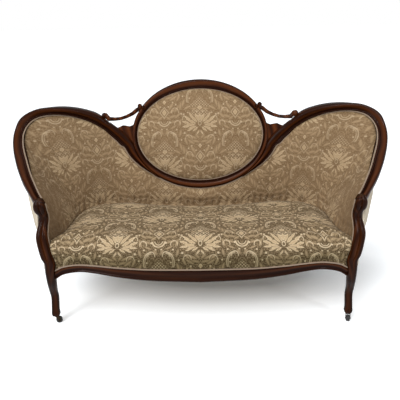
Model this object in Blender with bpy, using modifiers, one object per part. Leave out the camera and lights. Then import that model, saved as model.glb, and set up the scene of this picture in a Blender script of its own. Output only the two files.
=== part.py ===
"""Medallion-back settee: a show-wood frame on casters with sprung and stuffed upholstery.

Metres, +X to the sitter's left, +Y to the back, +Z up. The origin is on the floor,
in the middle of the settee's width and depth.
"""

import math

import bmesh
import bpy
from mathutils import Matrix, Vector

# Overall sizes and the running gap between touching pieces
WIDTH = 1.71
DEPTH = 0.740
HEIGHT = 1.00
CLEARANCE = 0.0003
BITE = 0.006

# Places that follow the overall sizes: shares of the width, the depth and the height
POST_SPREAD_SHARE = 0.779
MEDALLION_WIDTH_SHARE = 0.387
REAR_POST_SPREAD_SHARE = 0.544
FOOT_SETBACK_SHARE = 0.162
FRONT_BOW_SHARE = 0.081
ARM_HEIGHT_SHARE = 0.565
LOBE_HEIGHT_SHARE = 0.895
MEDALLION_HEIGHT_SHARE = 0.534
SEAT_HEIGHT_SHARE = 0.400
RAIL_UNDERSIDE_SHARE = 0.280
RAIL_TOP_SHARE = 0.345
FRONT_RAIL_FOOT_SHARE = 0.237

# Front posts: arm stump and cabriole leg in one piece
POST_SPREAD = WIDTH * POST_SPREAD_SHARE
POST_WIDTH = 0.051
POST_DEPTH = 0.060
POST_SPLAY = 0.026
CABRIOLE_THROW = 0.050
FOOT_SETBACK = DEPTH * FOOT_SETBACK_SHARE
ARM_HEIGHT = HEIGHT * ARM_HEIGHT_SHARE
POST_TOP_RISE = 0.020

# Wing rails: the arm and crest moulding of each wing
LOBE_HEIGHT = HEIGHT * LOBE_HEIGHT_SHARE
RAIL_THICKNESS = 0.036
MOULDING_RISE = 0.008

# Medallion frame, measured in its own raked plane
MEDALLION_WIDTH = WIDTH * MEDALLION_WIDTH_SHARE
MEDALLION_HEIGHT = HEIGHT * MEDALLION_HEIGHT_SHARE
MEDALLION_SIDE_BAND = 0.023
MEDALLION_CREST_BAND = 0.046
MEDALLION_FOOT_BAND = 0.040
MEDALLION_THICKNESS = 0.036
RAKE = math.radians(16.0)

# Spandrel webs and bridge bars beside the medallion
SPANDREL_THICKNESS = 0.014
SPANDREL_RECESS = 0.008
BRIDGE_RADIUS = 0.0092
OUTER_KNOB_RADIUS = 0.015
INNER_KNOB_RADIUS = 0.0125

# Seat rails
RAIL_UNDERSIDE = HEIGHT * RAIL_UNDERSIDE_SHARE
RAIL_TOP = HEIGHT * RAIL_TOP_SHARE
SIDE_RAIL_THICKNESS = 0.030
FRONT_RAIL_DEPTH = 0.036
FRONT_RAIL_FOOT = HEIGHT * FRONT_RAIL_FOOT_SHARE
SHOW_BAND_HEIGHT = 0.057
TACKING_SETBACK = 0.014
FRONT_BOW = DEPTH * FRONT_BOW_SHARE
FRONT_ARCH = 0.036
ROLL_OVERHANG = 0.008

# Rear posts and the hidden back frame
REAR_POST_SPREAD = WIDTH * REAR_POST_SPREAD_SHARE
REAR_POST_SIZE = 0.032
REAR_LEG_KICK = 0.045
STAY_RAIL_HEIGHT = 0.045
STAY_RAIL_THICKNESS = 0.016
STILE_WIDTH = 0.060
ARM_STAY_SIZE = 0.014

# Upholstery
SEAT_HEIGHT = HEIGHT * SEAT_HEIGHT_SHARE
SEAT_CROWN = 0.022
SEAT_LIP_FALL = 0.012
PAD_THICKNESS = 0.026
PAD_TOP_THICKNESS = 0.018
PAD_FULLNESS = 0.016
PAD_RECESS = 0.010
MEDALLION_CROWN = 0.022
COVER_THICKNESS = 0.005
COVER_FULLNESS = 0.010
DECK_THICKNESS = 0.002
WEB_WIDTH = 0.050
WEB_THICKNESS = 0.002
DUST_COVER_THICKNESS = 0.0015
DUST_COVER_DROP = 0.003

# Springs
SPRING_RADIUS = 0.036
SPRING_WAIST = 0.024
SPRING_WIRE = 0.0019
SPRING_TURNS = 3.0
SPRING_ROWS = 2
SPRINGS_IN_ROW = 4

# Casters
CASTER_HEIGHT = 0.038
CASTER_TRAIL = 0.012
WHEEL_RADIUS = 0.014
WHEEL_WIDTH = 0.016
WHEEL_SIDES = 14
AXLE_RADIUS = 0.0020
AXLE_BORE_RADIUS = 0.00245
AXLE_HEAD_RADIUS = 0.0036
AXLE_HEAD_THICKNESS = 0.0012
CHEEK_THICKNESS = 0.0020
CHEEK_GAP = 0.0010
CHEEK_BOSS_RADIUS = 0.0050
CROWN_THICKNESS = 0.0033
CROWN_LENGTH = 0.018
STEM_RADIUS = 0.0030
STEM_LENGTH = 0.030
SOCKET_FLANGE_RADIUS = 0.0130
SOCKET_FLANGE_THICKNESS = 0.0024
SOCKET_SLEEVE_RADIUS = 0.0055
SOCKET_BORE_RADIUS = 0.0036
SOCKET_DEPTH = 0.033
SWIVEL_GAP = 0.0005
ROUND_SIDES = 10

# Finishes: colours, then roughness
WALNUT = (0.085, 0.030, 0.018)
BEECH = (0.52, 0.36, 0.20)
DAMASK = (0.55, 0.45, 0.31)
HESSIAN = (0.50, 0.40, 0.25)
BRONZED_IRON = (0.16, 0.13, 0.10)
COMPOSITION = (0.05, 0.035, 0.03)
POLISHED = 0.28
WORN = 0.45
SAWN = 0.7
WOVEN = 0.85
SHARP_EDGE = math.radians(40)

# Places that the sizes above fix
HALF_WIDTH = WIDTH / 2
FRONT_Y = -DEPTH / 2
FOOT_Y = FRONT_Y + FOOT_SETBACK
ARM_X = POST_SPREAD / 2
OVAL_HALF_WIDTH = MEDALLION_WIDTH / 2
OVAL_HALF_HEIGHT = MEDALLION_HEIGHT / 2
RAKE_UP = Vector((0, math.sin(RAKE), math.cos(RAKE)))
RAKE_FRONT = Vector((0, -math.cos(RAKE), math.sin(RAKE)))
MEDALLION_Y = DEPTH / 2 - OVAL_HALF_HEIGHT * math.sin(RAKE) - MEDALLION_THICKNESS * math.cos(RAKE)
MEDALLION_Z = HEIGHT - OVAL_HALF_HEIGHT * math.cos(RAKE)
BACK_DEPTH = MEDALLION_Y - FOOT_Y

# Wing rail stations from the arm post to the lobe's outermost point. Each row is the
# outer edge then the inner edge, as shares: x from the post to the lobe, y from the
# foot to the medallion, z from the arm to the lobe's top.
ARM_STATION_SHARES = (
    (0.125, -0.039, -0.003, -0.125, -0.039, -0.006),
    (0.293, 0.049, 0.070, 0.076, 0.049, 0.089),
    (0.484, 0.146, 0.174, 0.255, 0.156, 0.199),
    (0.630, 0.234, 0.254, 0.402, 0.244, 0.306),
    (0.788, 0.351, 0.358, 0.543, 0.351, 0.425),
    (0.935, 0.488, 0.486, 0.690, 0.478, 0.547),
    (1.000, 0.585, 0.621, 0.761, 0.585, 0.645),
    (0.984, 0.660, 0.749, 0.755, 0.650, 0.728),
    (0.897, 0.718, 0.872, 0.679, 0.706, 0.807),
    (0.707, 0.765, 0.954, 0.533, 0.755, 0.869),
)
# The same from the lobe's top to the medallion: x from the medallion's side to the
# lobe, z from the medallion's middle to the lobe's top.
CREST_STATION_SHARES = (
    (0.796, 0.806, 1.000, 0.759, 0.800, 0.769),
    (0.669, 0.849, 1.000, 0.657, 0.849, 0.756),
    (0.541, 0.890, 0.946, 0.557, 0.890, 0.688),
    (0.414, 0.933, 0.837, 0.453, 0.929, 0.580),
    (0.297, 0.970, 0.668, 0.345, 0.962, 0.444),
    (0.197, 1.001, 0.369, 0.249, 0.986, 0.241),
    (0.125, 1.007, 0.173, 0.179, 0.991, -0.003),
    (0.052, 0.997, -0.044, 0.110, 0.986, -0.220),
)
# From there the rail lies along the medallion's edge: the angle below the medallion's
# side as a share of a quarter turn, then the rail's width as a share of its thickness.
TAIL_SHARES = (
    (0.119, 0.78),
    (0.210, 0.75),
    (0.311, 0.50),
    (0.411, 0.28),
    (0.500, 0.14),
    (0.580, 0.06),
    (0.780, 0.0),
    (1.000, 0.0),
)
RAIL_LAST_STATION = 23
RAIL_STEPS = 38
POST_STEPS = 25
FRONT_RAIL_STEPS = 13
SPANDREL_STEPS = 6
MEDALLION_SIDES = 56
LAST_STATION = len(ARM_STATION_SHARES) + len(CREST_STATION_SHARES) + len(TAIL_SHARES) - 1
SEAM_STATION = 12.5

# Plan of the seat inside the upholstery: station, x share of the arm post's place,
# y share of the distance from the foot to the medallion
SEAT_PLAN_SHARES = (
    (0, 0.966, -0.070),
    (3, 0.901, 0.254),
    (6, 0.893, 0.566),
    (9, 0.863, 0.761),
    (12, 0.773, 0.917),
    (14, 0.676, 0.976),
    (17, 0.526, 0.964),
    (21, 0.368, 0.925),
    (25, 0, 0.859),
)
# Plan of the seat rails' outer faces, in the same shares
FRAME_PLAN_SHARES = (
    (0, 0.991, -0.075),
    (3, 1.075, 0.273),
    (5, 1.084, 0.468),
    (8, 1.042, 0.712),
    (11, 0.938, 0.917),
    (14, 0.766, 1.069),
    (17, 0.586, 1.093),
    (21, 0.390, 1.064),
    (25, 0, 1.025),
)

# Front post sections: level from the foot to the top, x shift to the splayed ankle,
# half width, y shift by the cabriole's throw, half depth, groove between the reeds
POST_SHARES = (
    (0.000, 0.74, 0.62, 0.00, 0.54, 0),
    (0.020, 0.75, 0.72, 0.00, 0.60, 0),
    (0.056, 0.72, 0.66, 0.06, 0.54, 0),
    (0.150, 0.73, 0.66, 0.24, 0.51, 0),
    (0.214, 0.69, 0.68, 0.02, 0.55, 0),
    (0.314, 0.88, 0.76, -0.58, 0.70, 0),
    (0.424, 1.02, 0.82, -0.96, 0.86, 0.1),
    (0.500, 1.12, 0.88, -1.03, 0.93, 0.4),
    (0.550, 0.72, 0.95, -1.02, 0.96, 0.8),
    (0.643, 0.34, 0.96, -0.98, 0.97, 1.0),
    (0.717, 0.14, 0.95, -0.85, 0.90, 1.0),
    (0.780, 0.24, 0.84, -0.52, 0.76, 0.8),
    (0.830, 0.44, 0.74, -0.26, 0.67, 0.5),
    (0.868, 0.36, 0.82, -0.26, 0.72, 0.6),
    (0.900, 0.12, 1.00, -0.38, 0.82, 1.0),
    (0.935, 0.04, 1.02, -0.50, 0.88, 1.0),
    (0.970, 0.00, 0.90, -0.50, 0.82, 0.6),
    (1.000, 0.00, 0.56, -0.44, 0.52, 0),
)
# Half of a post's outline from the front's middle to the back's, each point as shares
# of the half width and half depth; the last share takes the groove
POST_OUTLINE_SHARES = (
    (0.00, -0.97, 1.0),
    (0.30, -1.00, 0.0),
    (0.66, -0.92, 0.0),
    (0.92, -0.62, 0.0),
    (1.00, -0.12, 0.0),
    (0.98, 0.42, 0.0),
    (0.76, 0.86, 0.0),
    (0.34, 1.00, 0.0),
)
GROOVE_DEPTH = 0.006

# Front rail along half its length: x, bow, rise of the lower edge as a share of the
# arch, show band's height
FRONT_RAIL_SHARES = (
    (0.000, 0.00, 0.00, 1.00),
    (0.318, 0.07, 0.22, 0.88),
    (0.515, 0.22, 0.56, 0.76),
    (0.674, 0.40, 1.00, 0.61),
    (0.773, 0.56, 1.06, 0.57),
    (0.879, 0.80, 0.56, 0.61),
    (0.939, 0.93, -0.20, 0.70),
    (1.000, 1.05, -0.75, 0.72),
)
# The rail ends inside the posts
FRONT_RAIL_END_SHARE = 0.955
# Show band's face: depth behind the bead as a share of the tacking setback, height
BAND_PROFILE_SHARES = (
    (0.45, 0.00),
    (0.10, 0.08),
    (0.00, 0.20),
    (0.22, 0.32),
    (0.30, 0.48),
    (0.12, 0.68),
    (0.00, 0.84),
    (0.20, 0.97),
)

# Moulding across the wing rail and medallion band: share of the width from the inner
# edge, rise as a share of the moulding's rise
MOULDING_SHARES = (
    (0.00, -0.9),
    (0.05, 0.0),
    (0.14, 0.1),
    (0.20, -0.7),
    (0.34, -0.8),
    (0.52, 0.5),
    (0.70, 1.0),
    (0.86, 0.6),
    (0.97, -0.5),
    (1.00, -1.5),
)

# Bridge bar from the knob on the wing rail to the knob on the medallion: share of the
# span, sag as a share of the span, radius as a share of the bar's
BRIDGE_SHARES = (
    (0.088, 0.123, 1.25),
    (0.244, 0.171, 0.95),
    (0.405, 0.196, 0.90),
    (0.575, 0.186, 0.95),
    (0.753, 0.150, 1.05),
    (0.890, 0.087, 1.15),
)
BRIDGE_OUTER_STATION = 14.35
BRIDGE_INNER_SHARE = 0.335

# Spandrel's scalloped top from the medallion to the rail: share of the span, drop
SCALLOP_SHARES = (
    (0.00, 0.00),
    (0.16, 0.075),
    (0.33, 0.094),
    (0.50, 0.010),
    (0.66, -0.052),
    (0.84, -0.016),
    (1.00, 0.00),
)
SPANDREL_INNER_SHARE = 0.139
SPANDREL_OUTER_STATION = 15.7

# Rear post: level from the foot to the top, y shift from the seat rail as a share of
# the kick, size
REAR_POST_SHARES = (
    (0.00, 1.00, 0.95),
    (0.08, 0.86, 0.98),
    (0.20, 0.52, 1.05),
    (0.32, 0.12, 1.00),
    (0.44, 0.00, 1.00),
    (0.70, -0.04, 0.88),
    (1.00, -0.18, 0.58),
)
REAR_POST_OUTLINE_SHARES = (
    (-1, -0.7),
    (-0.7, -1),
    (0.7, -1),
    (1, -0.7),
    (1, 0.7),
    (0.7, 1),
    (-0.7, 1),
    (-1, 0.7),
)

# Knobs at the bridge's ends: along the span, sag and radius, each as a share of the
# knob's radius
OUTER_KNOB_SHARES = (
    (-0.95, -0.10, 0.35),
    (-0.70, -0.05, 0.78),
    (-0.20, 0.0, 1.0),
    (0.30, 0.25, 0.98),
    (0.75, 0.85, 0.72),
)
INNER_KNOB_SHARES = (
    (-0.35, 0.85, 0.85),
    (0.0, 0.30, 1.0),
    (0.05, -0.30, 0.95),
    (0.0, -0.85, 0.45),
)
SPANDREL_LAST_STATION = 19.2
SPANDREL_OVAL_SHARES = (-0.26, -0.15, -0.05, 0.05, 0.12)

# Upholstery: heights up each sheet, the seat's front and side points, its crown's rings
SEAT_LEVEL_SHARE = 0.001
INSIDE_HEIGHT_SHARES = (-1, SEAT_LEVEL_SHARE, 0.25, 0.5, 0.75, 0.92, 1)
OUTSIDE_HEIGHT_SHARES = (0, 0.25, 0.5, 0.75, 1)
OUTSIDE_RAIL_SHARE = 0.25
SEAT_FRONT_SHARES = (0, 0.19, 0.38, 0.54, 0.68, 0.80, 0.90, 0.96)
SEAT_SIDE_STATIONS = (0, 1.5, 3, 5, 7, 9, 10.5, 12, 13, 14, 16, 18, 20.5, 22.5, 25)
FRAME_SIDE_STATIONS = (0.6, 2, 4, 6, 8, 10, 12, 14, 17, 21, 25)
SEAT_CROWN_SHARES = ((0.06, 0.14), (0.16, 0.45), (0.38, 0.80), (0.66, 0.97), (0.92, 1.0))
SEAT_HEART_SHARE = 0.36
SEAT_CORNER_SHARE = 0.4
SEAT_RIDGE_SHARE = 0.72
MEDALLION_CROWN_SHARES = ((0.93, 0.45), (0.8, 0.75), (0.55, 0.93), (0.2, 1.0))
BACK_EDGE_SHARE = 0.2
BACK_CROWN_SHARE = 0.3
BACK_FLAT_SHARE = 0.85
SEAM_GAP_SHARE = 0.012
MERGE_SHARE = 0.1
SPANDREL_LAP_SHARE = 0.15
SHELL_LIMIT = 3
OUTSIDE_LAP_SHARE = 0.75
ARM_STAY_TOP_SHARE = 0.93
ARM_STAY_REACH = 1.08
POST_SEAT_STATIONS = 0.8
SIDE_RAIL_START = 0.05
ARM_COLUMNS = 12
BACK_COLUMNS = 10
INSIDE_COLUMNS = 12
ARM_STAY_STATION = 4
STAY_RAIL_STEPS = 6
PLAN_HALVINGS = 30
OVAL_SIDES = 36
SPRING_PITCH = 0.26
SPRING_STEPS = 7
SPRING_FLAT_TURN = 0.4
WHEEL_ROUNDING = 0.002
CHEEK_ARC_SHARES = (0.35, -0.1, -0.6, -1.1, -1.6, -2.1)

# Casters' names, whether each is at the front, its side and the way its wheel trails
CASTERS = (
    ("front_left", True, -1, math.radians(20)),
    ("front_right", True, 1, math.radians(-100)),
    ("rear_left", False, -1, math.radians(75)),
    ("rear_right", False, 1, math.radians(110)),
)

FRONT_FOOT = (ARM_X - POST_SHARES[0][1] * POST_SPLAY, FOOT_Y)

PARTS = None
CUTTERS = None


def clear_scene():
    for obj in list(bpy.data.objects):
        bpy.data.objects.remove(obj, do_unlink=True)


def make_collections():
    global PARTS, CUTTERS
    PARTS = bpy.data.collections.new("medallion_settee")
    CUTTERS = bpy.data.collections.new("cutters")
    for group in (PARTS, CUTTERS):
        bpy.context.scene.collection.children.link(group)


def material(name, colour, roughness, metallic=0.0):
    made = bpy.data.materials.new(name)
    made.use_nodes = True
    shader = made.node_tree.nodes["Principled BSDF"]
    shader.inputs["Base Color"].default_value = (*colour, 1.0)
    shader.inputs["Roughness"].default_value = roughness
    shader.inputs["Metallic"].default_value = metallic
    return made


def walnut(name):
    return material(name + "_walnut", WALNUT, POLISHED)


def beech(name):
    return material(name + "_beech", BEECH, SAWN)


def damask(name):
    return material(name + "_damask", DAMASK, WOVEN)


def hessian(name):
    return material(name + "_hessian", HESSIAN, WOVEN)


def dark_metal(name):
    return material(name + "_metal", BRONZED_IRON, WORN, 1.0)


def add_object(name, mesh, finish, group=None):
    obj = bpy.data.objects.new(name, mesh)
    (group or PARTS).objects.link(obj)
    if finish:
        mesh.materials.append(finish)
    return obj


def mesh_from(name, bm):
    bmesh.ops.recalc_face_normals(bm, faces=bm.faces)
    mesh = bpy.data.meshes.new(name)
    bm.to_mesh(mesh)
    bm.free()
    mesh.shade_smooth()
    mesh.set_sharp_from_angle(angle=SHARP_EDGE)
    return mesh


def loft(name, rings, closed_path=False):
    """A solid through rings of equal counts, capped at both ends unless it closes on itself."""
    bm = bmesh.new()
    made = [[bm.verts.new(point) for point in ring] for ring in rings]
    count = len(rings[0])
    steps = len(rings) if closed_path else len(rings) - 1
    for i in range(steps):
        here = made[i]
        there = made[(i + 1) % len(rings)]
        for j in range(count):
            k = (j + 1) % count
            bm.faces.new((here[j], here[k], there[k], there[j]))
    if not closed_path:
        bm.faces.new(made[0])
        bm.faces.new(made[-1])
    return mesh_from(name, bm)


def open_sheet(name, rows):
    bm = bmesh.new()
    made = [[bm.verts.new(point) for point in row] for row in rows]
    for lower, upper in zip(made, made[1:]):
        for j in range(len(lower) - 1):
            bm.faces.new((lower[j], lower[j + 1], upper[j + 1], upper[j]))
    mesh = bpy.data.meshes.new(name)
    bm.to_mesh(mesh)
    bm.free()
    mesh.shade_smooth()
    return mesh


def curve_at(rows, place):
    """The row at a place along a smooth curve through rows whose first value is their place."""
    last = len(rows) - 1
    i = max(0, min(last - 1, sum(row[0] <= place for row in rows) - 1))
    before = rows[max(i - 1, 0)]
    start = rows[i]
    end = rows[i + 1]
    after = rows[min(i + 2, last)]
    span = end[0] - start[0]
    t = (place - start[0]) / span
    result = []
    for column in range(1, len(start)):
        slope_in = (end[column] - before[column]) / (end[0] - before[0]) * span
        slope_out = (after[column] - start[column]) / (after[0] - start[0]) * span
        result.append(
            (2 * t**3 - 3 * t**2 + 1) * start[column]
            + (t**3 - 2 * t**2 + t) * slope_in
            + (3 * t**2 - 2 * t**3) * end[column]
            + (t**3 - t**2) * slope_out
        )
    return result


def steps(first, last, count):
    return [first + (last - first) * i / count for i in range(count + 1)]


def mirrored(obj):
    """The same piece for the other side of the settee, and its cutter with it."""
    name = other_side(obj.name)
    finish = obj.data.materials[0].copy()
    finish.name = other_side(finish.name)
    mesh = evaluated_mesh(obj)
    reflect(mesh)
    mesh.materials.clear()
    mesh.shade_smooth()
    mesh.set_sharp_from_angle(angle=SHARP_EDGE)
    cutter = CUTTERS.objects.get(obj.name + "_cutter")
    if cutter:
        reflected = cutter.data.copy()
        reflect(reflected)
        hidden(add_object(name + "_cutter", reflected, None, CUTTERS))
    return add_object(name, mesh, finish)


def other_side(name):
    return name.replace("_right", "_left")


def reflect(mesh):
    mesh.transform(Matrix.Scale(-1, 4, Vector((1, 0, 0))))
    mesh.flip_normals()


def evaluated_mesh(obj):
    bpy.context.view_layer.update()
    graph = bpy.context.evaluated_depsgraph_get()
    mesh = bpy.data.meshes.new_from_object(obj.evaluated_get(graph))
    mesh.transform(obj.matrix_world)
    return mesh


def grown_cutter(obj):
    """A hidden copy of a piece, larger all round by the clearance."""
    name = obj.name + "_cutter"
    if name in CUTTERS.objects:
        return CUTTERS.objects[name]
    bm = bmesh.new()
    bm.from_mesh(evaluated_mesh(obj))
    bmesh.ops.triangulate(bm, faces=bm.faces)
    bm.normal_update()
    moves = [(v, v.normal * (CLEARANCE * min(v.calc_shell_factor(), SHELL_LIMIT))) for v in bm.verts]
    for vert, move in moves:
        vert.co += move
    mesh = bpy.data.meshes.new(name)
    bm.to_mesh(mesh)
    bm.free()
    return hidden(add_object(name, mesh, None, CUTTERS))


def hidden(obj):
    obj.hide_render = True
    obj.display_type = "WIRE"
    return obj


def carve(obj, *neighbours):
    """Cuts a piece back to a running gap from each neighbour that it seats on.

    Its own cutter is made first, from the whole shape, so that no sliver of a cut is grown.
    """
    grown_cutter(obj)
    obj.data = in_triangles(evaluated_mesh(obj))
    obj.modifiers.clear()
    for neighbour in neighbours:
        boolean(obj, grown_cutter(neighbour), "DIFFERENCE")
        drop_offcuts(obj)


def drop_offcuts(obj):
    """Applies the cuts and keeps the main body, without the slips cut off beyond a neighbour."""
    mesh = evaluated_mesh(obj)
    bm = bmesh.new()
    bm.from_mesh(mesh)
    bodies = []
    left = set(bm.verts)
    while left:
        body = {left.pop()}
        edge = list(body)
        while edge:
            near = {e.other_vert(v) for v in edge for e in v.link_edges} - body
            body |= near
            edge = list(near)
        left -= body
        bodies.append(body)
    bodies.sort(key=len)
    for body in bodies[:-1]:
        bmesh.ops.delete(bm, geom=list(body), context="VERTS")
    bm.to_mesh(mesh)
    bm.free()
    obj.modifiers.clear()
    obj.data = mesh


def boolean(obj, tool, operation):
    step = obj.modifiers.new(operation.lower() + "_" + tool.name, "BOOLEAN")
    step.operation = operation
    step.object = tool


def on_medallion(x, up, out=0.0):
    """A point in the medallion's raked plane."""
    return Vector((x, MEDALLION_Y, MEDALLION_Z)) + RAKE_UP * up + RAKE_FRONT * out


def oval(turn, half_width, half_height):
    angle = math.tau * turn
    return half_width * math.cos(angle), half_height * math.sin(angle)


def arm_point(x, y, z):
    return (
        ARM_X + x * (HALF_WIDTH - ARM_X),
        FOOT_Y + y * BACK_DEPTH,
        ARM_HEIGHT + z * (LOBE_HEIGHT - ARM_HEIGHT),
    )


def crest_point(x, y, z):
    return (
        OVAL_HALF_WIDTH + x * (HALF_WIDTH - OVAL_HALF_WIDTH),
        FOOT_Y + y * BACK_DEPTH,
        MEDALLION_Z + z * (LOBE_HEIGHT - MEDALLION_Z),
    )


def tail_points(turn_share, width_share):
    angle = -turn_share * math.pi / 2
    x = OVAL_HALF_WIDTH * math.cos(angle)
    up = OVAL_HALF_HEIGHT * math.sin(angle)
    away = Vector((math.cos(angle) / OVAL_HALF_WIDTH, math.sin(angle) / OVAL_HALF_HEIGHT)).normalized()
    width = width_share * RAIL_THICKNESS
    outer = on_medallion(x, up)
    inner = on_medallion(x + away.x * width, up + away.y * width)
    return (*outer, *inner)


def rail_stations():
    rows = [arm_point(*r[:3]) + arm_point(*r[3:]) for r in ARM_STATION_SHARES]
    rows += [crest_point(*r[:3]) + crest_point(*r[3:]) for r in CREST_STATION_SHARES]
    rows += [tail_points(*r) for r in TAIL_SHARES]
    return [(place, *row) for place, row in enumerate(rows)]


RAIL_STATIONS = rail_stations()
STATION_STEP = 0.25


def rail_edges(station):
    """The wing rail's two edges at a station, nearer the outline first, and the way its face looks."""
    station = min(max(station, 0), LAST_STATION)
    row = curve_at(RAIL_STATIONS, station)
    outer = Vector(row[:3])
    inner = Vector(row[3:])
    ahead = curve_at(RAIL_STATIONS, min(station + STATION_STEP, LAST_STATION))
    behind = curve_at(RAIL_STATIONS, max(station - STATION_STEP, 0))
    tangent = (Vector(ahead[:3]) + Vector(ahead[3:])) - (Vector(behind[:3]) + Vector(behind[3:]))
    tail_start = len(ARM_STATION_SHARES) + len(CREST_STATION_SHARES) - 1
    face = (outer - inner).cross(tangent)
    face = face.normalized() if face.length > 0 else RAKE_FRONT.copy()
    if station > tail_start:
        flat = min(station - tail_start, 1)
        face = face.lerp(RAKE_FRONT, flat).normalized()
    return outer, inner, face


def plan_point(rows, station, z):
    x, y = curve_at(rows, station)
    return Vector((x * ARM_X, FOOT_Y + y * BACK_DEPTH, z))


def wing_rail():
    rings = []
    end = RAIL_LAST_STATION
    for station in steps(0, end, RAIL_STEPS):
        outer, inner, face = rail_edges(station)
        if station > end - len(TAIL_SHARES):
            outer = outer + (outer - inner).normalized() * BITE / 2
        across = outer - inner
        ring = [inner + across * w + face * (rise * MOULDING_RISE) for w, rise in MOULDING_SHARES]
        ring.append(outer - face * RAIL_THICKNESS)
        ring.append(inner - face * RAIL_THICKNESS)
        rings.append(ring)
    name = "wing_rail_right"
    return add_object(name, loft(name, rings), walnut(name))


def medallion_frame():
    rings = []
    count = MEDALLION_SIDES
    for i in range(count):
        turn = i / count
        outer_x, outer_up = oval(turn, OVAL_HALF_WIDTH, OVAL_HALF_HEIGHT)
        inner_x, inner_up = inner_oval(turn)
        ring = []
        for w, rise in MOULDING_SHARES:
            x = inner_x + (outer_x - inner_x) * w
            up = inner_up + (outer_up - inner_up) * w
            ring.append(on_medallion(x, up, rise * MOULDING_RISE))
        ring.append(on_medallion(outer_x, outer_up, -MEDALLION_THICKNESS))
        ring.append(on_medallion(inner_x, inner_up, -MEDALLION_THICKNESS))
        rings.append(ring)
    name = "medallion_frame"
    return add_object(name, loft(name, rings, closed_path=True), walnut(name))


def inner_oval(turn, inset=0.0):
    """The medallion's sight edge, which sits a little low because the crest is broader."""
    half_height = OVAL_HALF_HEIGHT - (MEDALLION_CREST_BAND + MEDALLION_FOOT_BAND) / 2
    drop = (MEDALLION_CREST_BAND - MEDALLION_FOOT_BAND) / 2
    x, up = oval(turn, OVAL_HALF_WIDTH - MEDALLION_SIDE_BAND - inset, half_height - inset)
    return x, up - drop


def front_post():
    foot = CASTER_HEIGHT
    top = ARM_HEIGHT + POST_TOP_RISE
    rings = []
    for place in steps(0, len(POST_SHARES) - 1, POST_STEPS):
        rows = [(i, *row) for i, row in enumerate(POST_SHARES)]
        level, shift, width, throw, depth, groove = curve_at(rows, place)
        z = foot + level * (top - foot)
        middle = Vector((ARM_X - shift * POST_SPLAY, FOOT_Y + throw * CABRIOLE_THROW, z))
        half_width = width * POST_WIDTH / 2
        half_depth = depth * POST_DEPTH / 2
        half = []
        for x, y, cut in POST_OUTLINE_SHARES:
            half.append((x * half_width, y * half_depth + cut * groove * GROOVE_DEPTH))
        outline = half + [(-x, y) for x, y in reversed(half[1:])]
        rings.append([middle + Vector((x, y, 0)) for x, y in outline])
    name = "front_post_right"
    return add_object(name, loft(name, rings), walnut(name))


def towards_post(point, station):
    """Draws a sheet's first edge to the middle of the front post's depth, so that it ends in the wood."""
    top = ARM_HEIGHT + POST_TOP_RISE
    level = min(max((point.z - CASTER_HEIGHT) / (top - CASTER_HEIGHT), 0), 1)
    throw = curve_at(POST_SHARES, level)[2]
    weight = max(0, 1 - station / POST_SEAT_STATIONS)
    return point.lerp(Vector((point.x, FOOT_Y + throw * CABRIOLE_THROW, point.z)), weight)


def front_seat_rail():
    rings = []
    shares = steps(0, FRONT_RAIL_END_SHARE, FRONT_RAIL_STEPS)
    half = [curve_at(FRONT_RAIL_SHARES, share) + [share] for share in shares]
    for side, stations in ((-1, reversed(half[1:])), (1, half)):
        for bow, rise, band, x_share in stations:
            x = side * x_share * ARM_X
            front = FRONT_Y + ROLL_OVERHANG + bow * FRONT_BOW
            foot = FRONT_RAIL_FOOT + rise * FRONT_ARCH
            height = band * SHOW_BAND_HEIGHT
            ring = []
            for depth, level in BAND_PROFILE_SHARES:
                ring.append(Vector((x, front + depth * TACKING_SETBACK, foot + level * height)))
            ring.append(Vector((x, front + TACKING_SETBACK, foot + height)))
            ring.append(Vector((x, front + TACKING_SETBACK, RAIL_TOP)))
            ring.append(Vector((x, front + FRONT_RAIL_DEPTH, RAIL_TOP)))
            ring.append(Vector((x, front + FRONT_RAIL_DEPTH, RAIL_UNDERSIDE)))
            ring.append(Vector((x, front + TACKING_SETBACK + BITE, RAIL_UNDERSIDE)))
            ring.append(Vector((x, front + TACKING_SETBACK, foot)))
            rings.append(ring)
    name = "front_seat_rail"
    return add_object(name, loft(name, rings), walnut(name))


def rail_along(name, stations, finish):
    """A plain rail whose outer face follows the frame's plan."""
    rings = []
    for station in stations:
        outer = plan_point(FRAME_PLAN_SHARES, abs(station), 0)
        inner = outer - plan_outward(FRAME_PLAN_SHARES, abs(station)) * SIDE_RAIL_THICKNESS
        if station < 0:
            outer.x = -outer.x
            inner.x = -inner.x
        corners = ((outer, RAIL_UNDERSIDE), (outer, RAIL_TOP), (inner, RAIL_TOP), (inner, RAIL_UNDERSIDE))
        rings.append([Vector((p.x, p.y, z)) for p, z in corners])
    return add_object(name, loft(name, rings), finish)


def station_at(x):
    """The station on the inner half of the back where the frame's plan reaches this x."""
    low, high = len(ARM_STATION_SHARES), LAST_STATION
    for _ in range(PLAN_HALVINGS):
        middle = (low + high) / 2
        if plan_point(FRAME_PLAN_SHARES, middle, 0).x > x:
            low = middle
        else:
            high = middle
    return low


def rear_post():
    x = REAR_POST_SPREAD / 2
    seat = plan_point(FRAME_PLAN_SHARES, station_at(x), 0).y - REAR_POST_SIZE / 2 - CLEARANCE
    top = rail_edges(station_at(x))[1].z + BITE
    rings = []
    for level, kick, size in REAR_POST_SHARES:
        half = REAR_POST_SIZE * size / 2
        y = seat + kick * REAR_LEG_KICK
        z = CASTER_HEIGHT + level * (top - CASTER_HEIGHT)
        rings.append([Vector((x + a * half, y + b * half, z)) for a, b in REAR_POST_OUTLINE_SHARES])
    name = "rear_post_right"
    return add_object(name, loft(name, rings), walnut(name))


def rear_foot_place():
    x = REAR_POST_SPREAD / 2
    seat = plan_point(FRAME_PLAN_SHARES, station_at(x), 0).y - REAR_POST_SIZE / 2 - CLEARANCE
    return x, seat + REAR_POST_SHARES[0][1] * REAR_LEG_KICK


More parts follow.
